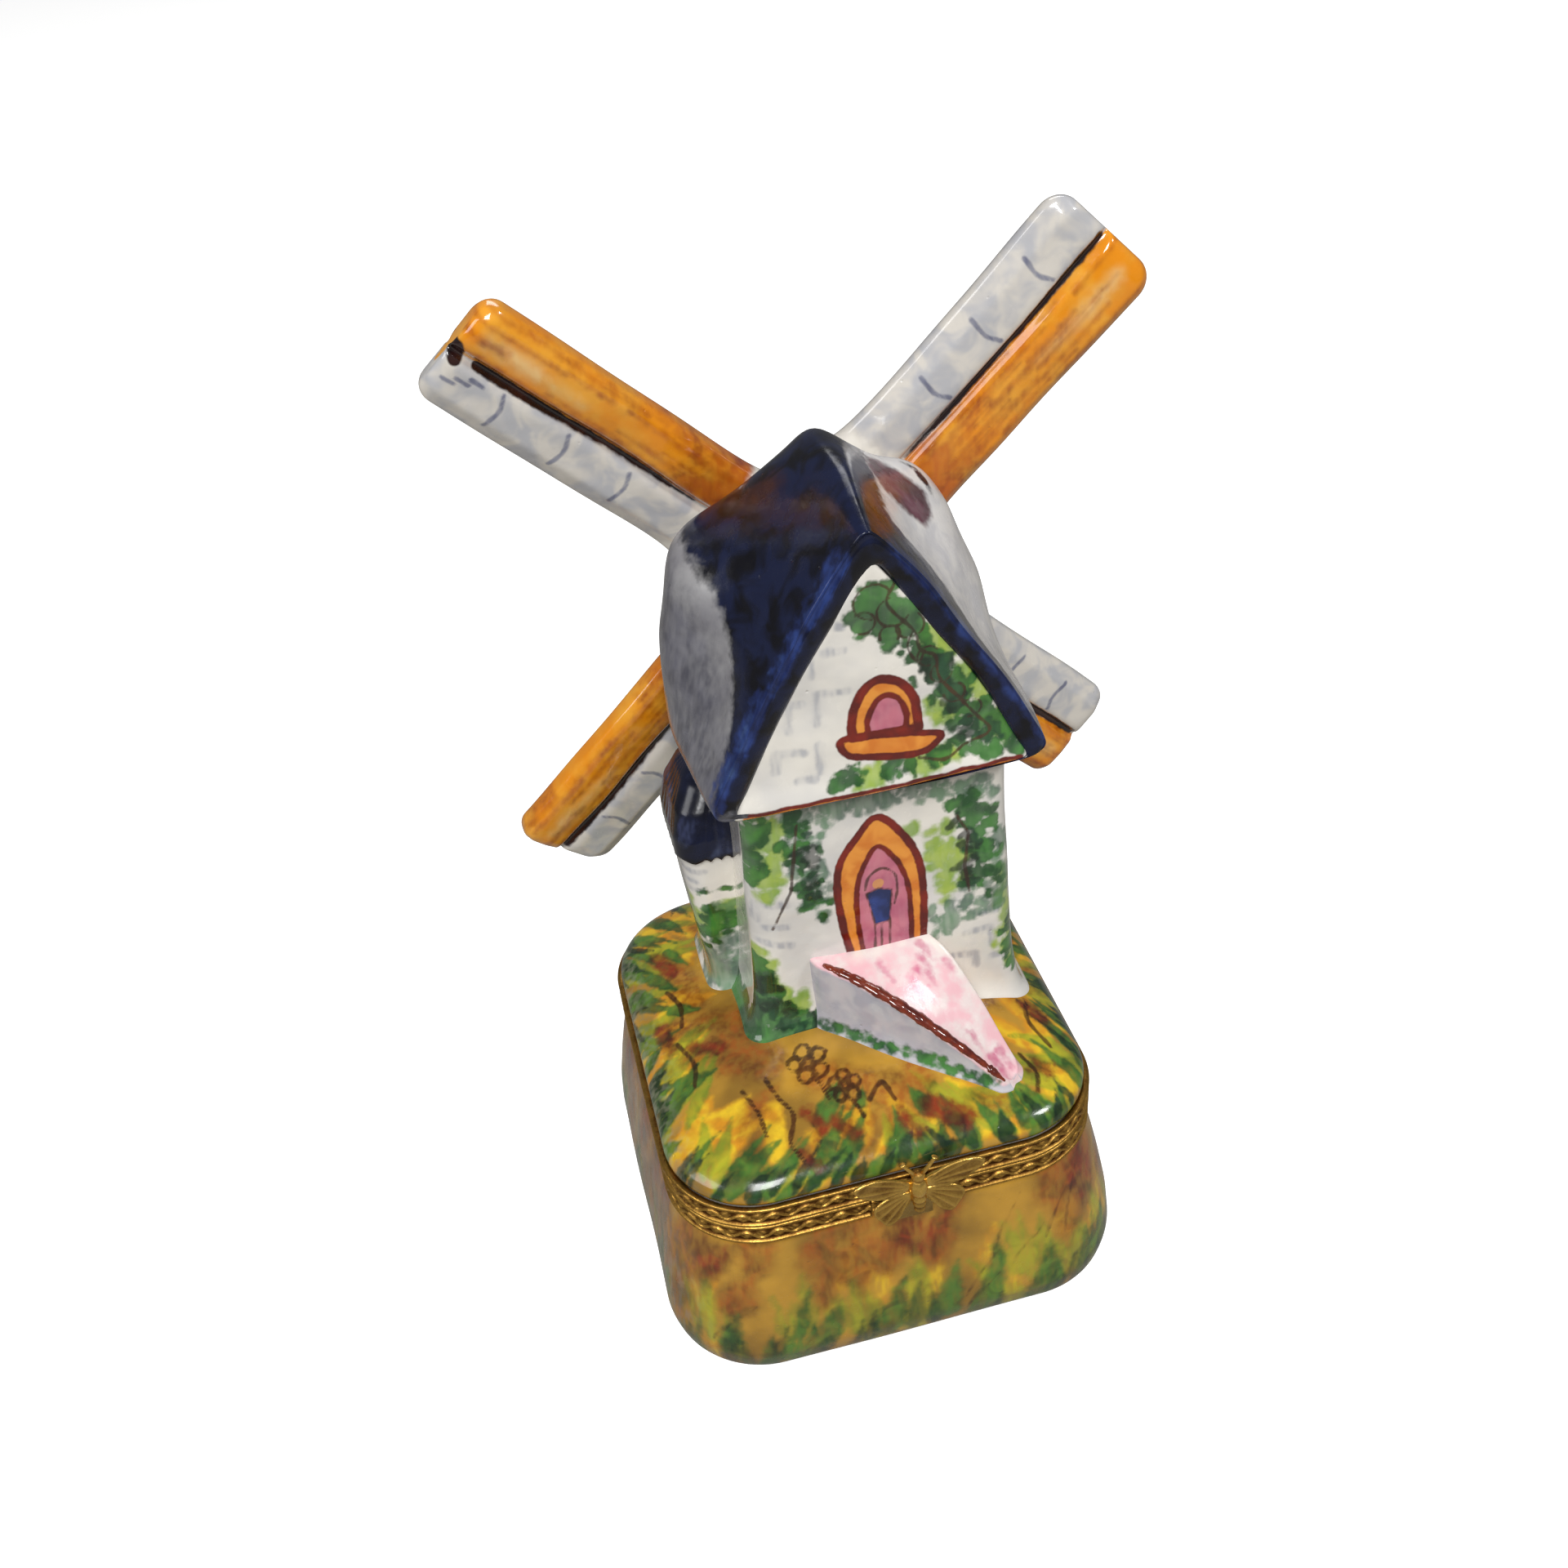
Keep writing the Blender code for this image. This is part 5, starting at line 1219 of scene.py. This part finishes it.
def makeSail(number):
    plan, look = sailPlan, sailLook
    spar = plan["spars"][number]
    section = sailSection(spar)
    middle = (plan["lattice"] - spar) / 2
    reach, tip = plan["reach"], plan["tipRound"] + (0.6 if number == 0 else 0.0)
    stations = np.concatenate([np.linspace(plan["root"], reach - tip, 150, endpoint=False),
                               reach - tip + tip * np.sin(np.linspace(0, math.pi / 2, 12))])
    rings = []
    for u in stations:
        away = max(0.0, u - (reach - tip)) / tip
        narrow = tip * (1 - math.sqrt(max(0.0, 1 - away ** 2))) * 0.92
        flare = math.exp(-max(0.0, u - 9.5) / 2.4)
        halfWidth = (spar + plan["lattice"]) / 2 + 0.15
        across = (section[:, 0] - middle) * (1 - narrow / halfWidth) * (1 + 0.12 * flare) + middle
        across += np.where(section[:, 0] > 0.6, (section[:, 0] - 0.6) * 0.30 * flare, 0)
        thickness = section[:, 1] * (1 - 0.62 * narrow / 1.9) * (1 + 0.35 * flare)
        rings.append(np.column_stack([np.full(len(section), u), thickness, across]))
    rings = np.array(rings)
    flat = rings.reshape(-1, 3)
    flat[:, 1] += wave(flat, 15, 130 + number) * 0.16
    flat[:, 2] += wave(flat, 19, 140 + number) * 0.14
    u, v = flat[:, 0].copy(), flat[:, 2].copy()
    dice = np.random.default_rng(150 + number)
    flatPlace = np.column_stack([u, v])
    streaks = []
    for _ in range(34):
        at = dice.uniform(11, reach - 4)
        side = -spar * dice.beta(0.7, 0.9)
        length = dice.uniform(4, 12)
        streaks.append((np.array([(at, side), (at + length, side + dice.normal(0, 0.15))]),
                        np.array([0.40, 0.10]) * dice.uniform(0.4, 1.2)))
    streaks += [(np.array([(10.5, -spar * 0.5), (15.5, -spar * 0.42), (19.5, -spar * 0.3)]),
                 np.array([0.30, 0.26, 0.08]) * spar),
                (np.array([(17.0, -0.5), (30.0, -0.5)]), np.array([0.6, 0.2]))]
    cream = [(np.array([(reach - 13, -spar * 0.46), (reach - 6, -spar * 0.5), (reach - 2.5, -spar * 0.5)]),
              np.array([0.25, 0.9, 0.7]))]
    rungs = [(curveThrough(((at + 0.5, 1.0), (at - 0.1, 2.6), (at + 0.2, 4.7)), 4), np.full(9, 0.22))
             for at in (22.6, 29.9, 37.3)]
    if number == 1:
        rungs += [(((reach - 4.6 + k * 1.2, 1.4 + k * 0.6), (reach - 3.2 + k * 1.1, 1.3 + k * 0.7)), 0.22)
                  for k in range(3)]
    stop = reach - (3.0 if number == 1 else 0.9)
    gutter = curveThrough(((15.5, 0.05), (24.0, -0.05), (34.0, 0.10), (stop, 0.15)), 8)
    wide = np.interp(np.linspace(0, 1, len(gutter)), (0, 0.2, 0.55, 0.9, 1), (0.10, 0.30, 0.36, 0.50, 0.42))
    inked = [(gutter, wide)]
    if number == 1:
        inked.append((((reach - 0.9, 0.4), (reach - 0.3, -0.6)), 0.75))
    seam = v + 0.15 + 0.12 * np.sin(u * 0.7)
    scorched = (u - 17.5) * 0.35 + wave(flat, 5, 162) * 0.5     # the spar darkens toward its root
    fields = {
        "lattice": np.clip(-seam, -3, fieldReach),
        "root": np.clip(np.where(v < 0.1, u - 12.4 + wave(flat, 4, 161) * 0.8, u - 15.0), -3, fieldReach),
        "cream": np.where(v < 0.2, strokeField(flatPlace, cream), fieldReach),
        "ember": np.clip(np.where(v < 0.1, scorched, fieldReach), -3, fieldReach),
        "brown": np.where(v < 0.2, strokeField(flatPlace, streaks), fieldReach),
        "rung": np.where(v > 0.4, strokeField(flatPlace, rungs), fieldReach),
        "groove": strokeField(flatPlace, inked),
    }
    # shapes above lie along X; turn them to their place on the mill
    turn = (Matrix.Rotation(math.radians(plan["tilt"]), 4, "X")
            @ Matrix.Rotation(-math.radians(45 + 90 * number), 4, "Y")
            @ Matrix.Rotation(math.radians(plan["pitch"]), 4, "X"))
    points, faces = loftSolid(rings)
    points = points @ np.array(turn.to_3x3()).T + hubCentre
    layers = coats(look, cream=(0.9, 0.3, 0.8), ember=(2.2, 0.6, 0.9), brown=(0.45, 0.3, 0.75),
                   lattice=(0.15, 0.05, 1.0), root=(1.0, 0.6, 1.0), rung=(0.14, 0.1, 0.85),
                   groove=(0.12, 0.12, 1.0))
    material = glazed(f"sailGlaze{number + 1}", look["ochre"], look["honey"], layers, mottle=(0.28, 3.0))
    makePiece(f"sail{number + 1}", (points, faces), material, "lid",
              [f"sail_spar_{number + 1}", f"sail_lattice_{number + 1}"], fields)


def makeHub():
    profile = resample(((0.05, 3.0), (2.2, 2.9), (2.9, 2.0), (4.4, 2.1), (6.6, 1.4), (8.0, 0.0),
                        (8.4, -1.4), (8.4, -3.6), (0.05, -3.6)), 0.3)
    profile = soften(profile, 3)
    angles = np.linspace(0, 2 * math.pi, 96, endpoint=False)
    rings = np.array([hubCentre + np.column_stack([radius * np.cos(angles), np.full(96, lift),
                                                   radius * np.sin(angles)])
                      for radius, lift in profile])
    flat = rings.reshape(-1, 3)
    flat += wave(flat, 8, 171)[:, None] * 0.08
    radius = np.hypot(flat[:, 0] - hubCentre[0], flat[:, 2] - hubCentre[2])
    fields = {"frame": np.abs(radius - 2.9) - 0.25 + (flat[:, 1] < hubCentre[1]) * 3,
              "gold": radius - 2.2 + (flat[:, 1] < hubCentre[1]) * 5}
    material = glazed("hubGlaze", wallLook["white"], wallLook["cool"],
                      coats(wallLook, gold=(0.3, 0.3, 0.9), frame=(0.15, 0.15, 0.95)))
    makePiece("sailBoss", loftSolid(rings), material, "lid", ["sail_hub"], fields)


for sailNumber in range(4):
    makeSail(sailNumber)
makeHub()

# brass collars, butterfly and hinge

brassLook = {"bright": colour(0.90, 0.52, 0.11), "brown": colour(0.12, 0.050, 0.012),
             "wave": 3.4, "relief": 0.42, "hinge": colour(0.50, 0.32, 0.10),
             # from the outer top edge of a collar round its inside: how far in, and what share of its height
             "inside": ((0.55, 1.0), (0.8, 0.97), (0.88, 0.5), (0.9, 0.24), (1.4, 0.2), (2.9, 0.2),
                        (3.0, 0.1), (2.9, 0.0), (0.5, 0.0))}
upperBox, lowerBox = nodeBox("upper_collar"), nodeBox("lower_collar")
collarHalf = float(upperBox[1][0])
seamHeight = float((upperBox[0][2] + lowerBox[1][2]) / 2)


def scroll(along, up, length):
    # a wavy stem with a leaf on each bend, from 0 in the ground to 1 on top; up runs from 0 to 1
    turn = along / length
    stem = 0.5 + 0.20 * np.sin(2 * math.pi * turn)
    high = np.exp(-((up - stem) / 0.10) ** 2)
    for shift, side in ((0.25, -1), (0.75, 1)):
        near = (turn - shift) - np.round(turn - shift)
        across = near * length
        curl = (up - 0.5 - side * 0.13) * 2.4
        leaf = np.exp(-((across - side * curl * 0.35) / 0.62) ** 2 - ((curl) / 0.42) ** 2)
        rib = 1 - 0.5 * np.exp(-((across * 0.5 - curl) / 0.12) ** 2)
        high = np.maximum(high, leaf * rib)
    return high


def makeCollar(name, node, body, away, notch=False):
    low, high = nodeBox(node)
    base = squareLoop(2 * collarHalf, 2 * collarHalf, 10.4, straight=(190,) * 4, corner=105)
    steps = np.linalg.norm(np.roll(base, -1, 0) - base, axis=1)
    along = np.concatenate([[0], np.cumsum(steps)[:-1]])
    total = steps.sum()
    length = total / round(total / brassLook["wave"])
    outward = np.roll(base, -1, 0) - np.roll(base, 1, 0)
    outward = np.column_stack([outward[:, 1], -outward[:, 0]])
    outward /= np.linalg.norm(outward, axis=1)[:, None]
    seam = seamHeight + away * 0.15
    height = float(high[2] - low[2])
    levels = np.linspace(0, 1, 24)
    rings, hollows = [], []
    for up in levels:
        rim = max(math.exp(-((up - 0.05) / 0.055) ** 2), math.exp(-((up - 0.95) / 0.055) ** 2))
        stem = scroll(along + (0.4 if away > 0 else 1.9), np.full(len(base), (up - 0.12) / 0.76), length)
        relief = np.maximum(stem * (0.12 < up < 0.88), rim)
        edge = max(0.0, abs(up - 0.5) - 0.46) / 0.04
        inset = brassLook["relief"] * (1 - relief) + 0.14 * edge ** 2
        cut = 0.45 * (np.abs(base[:, 0]) < 3.5) * (base[:, 1] < 0) if notch else 0
        ring = base - outward * (inset + cut)[:, None]
        rings.append(np.column_stack([ring, np.full(len(base), seam + away * height * up)]))
        hollows.append(1 - relief)
    for inset, up in brassLook["inside"]:
        ring = base - outward * inset
        rings.append(np.column_stack([ring, np.full(len(base), seam + away * height * up)]))
        hollows.append(np.full(len(base), 0.5))
    shape = loftTube(np.array(rings))
    material = brassy(name + "Brass", brassLook["bright"], brassLook["brown"], "hollow")
    makePiece(name, shape, material, body, [node], {"hollow": np.concatenate(hollows)})


butterflyPlan = {  # x from the body and height; the wings lie in front of the tongue
    "upper": ((0.5, 24.2), (2.4, 23.5), (4.4, 24.0), (6.0, 25.2), (6.9, 26.7), (5.6, 27.3), (3.8, 26.8),
              (2.0, 25.8),
              (0.6, 25.0)),
    "lower": ((0.5, 23.4), (2.4, 23.5), (4.1, 23.0), (4.9, 21.9), (4.2, 20.4), (3.4, 19.5), (2.3, 20.0),
              (1.4, 21.2), (0.6, 22.3)),
    "face": -25.0, "across": 1.0, "lift": 1.9,
}


def wingShape(outline, side, face):
    outline = curveThrough(outline, 9, closed=True)
    root = outline[0]
    centre = outline.mean(0)
    rings = []
    hollow = []
    shells = list(np.linspace(0.04, 1.0, 18))
    for sheet in (0, 1):
        for share in (shells if sheet == 0 else shells[::-1]):
            spots = centre + (outline - centre) * share
            away = spots - root
            reach = np.linalg.norm(away, axis=1)
            angle = np.arctan2(away[:, 1], away[:, 0])
            veins = sum(np.exp(-((angle - a) * np.maximum(reach, 0.5) / 0.16) ** 2)
                        for a in np.linspace(-1.35, 1.35, 11))
            rim = math.exp(-((share - 0.95) / 0.06) ** 2)
            relief = np.clip(np.maximum(veins * 0.8, rim), 0, 1)
            curl = 0.05 * reach ** 1.5
            thick = 0.30 * math.sqrt(max(0.0, 1 - share ** 6))
            depth = face - curl + (thick - 0.05 if sheet else -thick - 0.18 * relief)
            rings.append(np.column_stack([butterflyPlan["across"] + side * spots[:, 0], depth,
                                          spots[:, 1] + butterflyPlan["lift"]]))
            hollow.append((1 - relief) * (0.55 if sheet == 0 else 0.3))
    rings = np.array(rings)
    return loftSolid(rings), np.append(np.concatenate(hollow), [0.3, 0.3])


def tubeAlong(line, radii, sides=16):
    line = np.asarray(line, float)
    heading = np.gradient(line, axis=0)
    rings = []
    for spot, ahead, radius in zip(line, heading, radii):
        ahead = ahead / np.linalg.norm(ahead)
        across = np.cross(ahead, (0, 1, 0))
        across /= np.linalg.norm(across)
        lift = np.cross(across, ahead)
        angles = np.linspace(0, 2 * math.pi, sides, endpoint=False)
        rings.append(spot + radius * (np.cos(angles)[:, None] * across + np.sin(angles)[:, None] * lift))
    return loftSolid(np.array(rings))


def makeButterfly():
    plan = butterflyPlan
    place = np.array([plan["across"], 0, plan["lift"]])
    brass = brassy("butterflyBrass", colour(0.97, 0.62, 0.15), colour(0.26, 0.13, 0.03), "hollow")
    for side, word in ((-1, "left"), (1, "right")):
        for level, title in (("upper", "Upper"), ("lower", "Lower")):
            shape, hollow = wingShape(plan[level], side, plan["face"] - (0.15 if level == "upper" else 0.0))
            makePiece(f"wing{title}{word.capitalize()}", shape, brass, "clasp",
                      [f"butterfly_wing_{level}_{word}"], {"hollow": hollow})
        line = curveThrough(((side * 0.35, -25.6, 26.3), (side * 0.8, -26.0, 27.4),
                             (side * 1.5, -26.05, 28.5), (side * 1.75, -26.0, 29.0)), 8)
        radii = np.interp(np.linspace(0, 1, len(line)), (0, 0.8, 0.86, 0.93, 1),
                          (0.24, 0.17, 0.34, 0.36, 0.05))
        shape = tubeAlong(line + place, radii, 12)
        makePiece(f"feeler{word.capitalize()}", shape, brass, "clasp", [f"butterfly_antenna_{word}"],
                  {"hollow": np.full(len(shape[0]), 0.1)})
    heights = np.linspace(20.2, 26.8, 60)
    radii, hollow = [], []
    for z in heights:
        if z > 25.5:
            radius = 0.72 * math.sqrt(max(0.02, 1 - ((z - 26.1) / 0.72) ** 2))      # head
        elif z > 23.2:
            radius = 0.95 * math.sqrt(max(0.1, 1 - ((z - 24.3) / 1.45) ** 2))       # chest
        else:
            radius = 0.78 - 0.12 * (23.2 - z) + 0.09 * math.cos(z * 7.5)            # rings of the tail
            radius *= math.sqrt(min(1.0, max(0.03, (z - 20.15) / 0.6)))
        radii.append(max(radius, 0.1))
    line = np.column_stack([np.zeros(60), np.full(60, -25.55), heights])
    shape = tubeAlong(line + place, radii, 28)
    hollow = np.repeat(np.clip((0.8 - np.array(radii)) * 2.2, 0, 0.8), 28)
    makePiece("butterflyBody", shape, brass, "clasp", ["butterfly_body"],
              {"hollow": np.append(hollow, [0.2, 0.2])})


makeCollar("collarUpper", "upper_collar", "lid", 1)
makeCollar("collarLower", "lower_collar", "box", -1, notch=True)
makeButterfly()

plainBrass = brassy("hingeBrass", brassLook["hinge"], brassLook["brown"])
for node in ("hinge_leaf_lower", "hinge_leaf_upper", "hinge_pin", "catch_bead", "clasp_tongue"):
    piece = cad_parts[node]
    for number in range(len(piece.material_slots)):
        piece.material_slots[number].material = plainBrass
print("brass work done")

# floor, light and camera

studio = {"floor": colour(0.90, 0.90, 0.89), "bounce": colour(0.30, 0.29, 0.27), "glow": 0.68,
          "world": 0.16, "aim": (0, 0, 0.05),
          "lights": {  # place and size in metres, then power
              "keyLight": ((-0.12, -0.48, 0.62), (0.26, 0.26), 4.2),
              "sideLight": ((0.42, -0.26, 0.50), (0.10, 0.10), 1.1),
              "fillLight": ((-0.60, -0.15, 0.45), (0.30, 0.30), 1.3),
              "rimLight": ((0.15, 0.5, 0.55), (0.4, 0.15), 0.8)}}
view = {"azimuth": 10.233, "elevation": 37.756, "roll": -6.063, "distance": 163.202,
        "aim": (-3.766, 0, 60.395), "sensor": 36, "lens": 37.4528}


def makeFloor():
    steps = np.linspace(-1500, 1500, 9)
    points = np.array([(x, y, -0.02) for y in steps for x in steps])
    mesh = bpy.data.meshes.new("studioFloor")
    mesh.from_pydata((points * mm).tolist(), [], gridFaces(9, 9, closed=False).tolist())
    material = bpy.data.materials.new("paper")
    material.use_nodes = True
    tree = material.node_tree
    shader = tree.nodes["Principled BSDF"]
    place = put(tree, "TexCoord").outputs["Object"]
    cloud = grainy(tree, place, 12.0, 3.0)
    # the paper is bright to look at but lights the piece only a little
    seen = put(tree, "LightPath").outputs["Is Camera Ray"]
    paper = mixColour(tree, cloud, studio["floor"], colour(0.88, 0.88, 0.88))
    tree.links.new(mixColour(tree, seen, studio["bounce"], paper), shader.inputs["Base Color"])
    tree.links.new(mixColour(tree, seen, colour(0, 0, 0), colour(1, 1, 1)), shader.inputs["Emission Color"])
    shader.inputs["Roughness"].default_value = 0.9
    shader.inputs["Emission Strength"].default_value = studio["glow"]
    mesh.materials.append(material)
    floor = bpy.data.objects.new("studioFloor", mesh)
    bpy.context.scene.collection.objects.link(floor)


def addLight(name, spot, size, power):
    lamp = bpy.data.lights.new(name, "AREA")
    lamp.shape = "RECTANGLE"
    lamp.size, lamp.size_y = size
    lamp.energy = power
    holder = bpy.data.objects.new(name, lamp)
    holder.location = Vector(spot)
    holder.rotation_euler = (Vector(studio["aim"]) - Vector(spot)).to_track_quat("-Z", "Y").to_euler()
    bpy.context.scene.collection.objects.link(holder)


def makeStudio():
    makeFloor()
    for name, (spot, size, power) in studio["lights"].items():
        addLight(name, spot, size, power)
    world = bpy.data.worlds.new("paleRoom")
    world.use_nodes = True
    backdrop = world.node_tree.nodes["Background"]
    backdrop.inputs["Color"].default_value = colour(1, 1, 1)
    backdrop.inputs["Strength"].default_value = studio["world"]
    bpy.context.scene.world = world
    bpy.context.scene.view_settings.view_transform = "Standard"


def makeCamera():
    azimuth, elevation, roll = (math.radians(view[angle]) for angle in ("azimuth", "elevation", "roll"))
    aim = Vector(view["aim"]) * mm
    back = Vector((-math.sin(azimuth) * math.cos(elevation), -math.cos(azimuth) * math.cos(elevation),
                   math.sin(elevation)))
    right = Vector((0, 0, 1)).cross(back).normalized()
    up = back.cross(right)
    turnedRight = math.cos(roll) * right + math.sin(roll) * up
    turnedUp = -math.sin(roll) * right + math.cos(roll) * up
    lens = bpy.data.cameras.new("viewCamera")
    lens.sensor_width = view["sensor"]
    lens.lens = view["lens"]
    lens.clip_start = 0.01
    camera = bpy.data.objects.new("viewCamera", lens)
    turn = Matrix((turnedRight, turnedUp, back)).transposed().to_4x4()
    camera.matrix_world = Matrix.Translation(aim + back * view["distance"] * mm) @ turn
    bpy.context.scene.collection.objects.link(camera)
    bpy.context.scene.camera = camera


makeStudio()
makeCamera()
print("studio done")
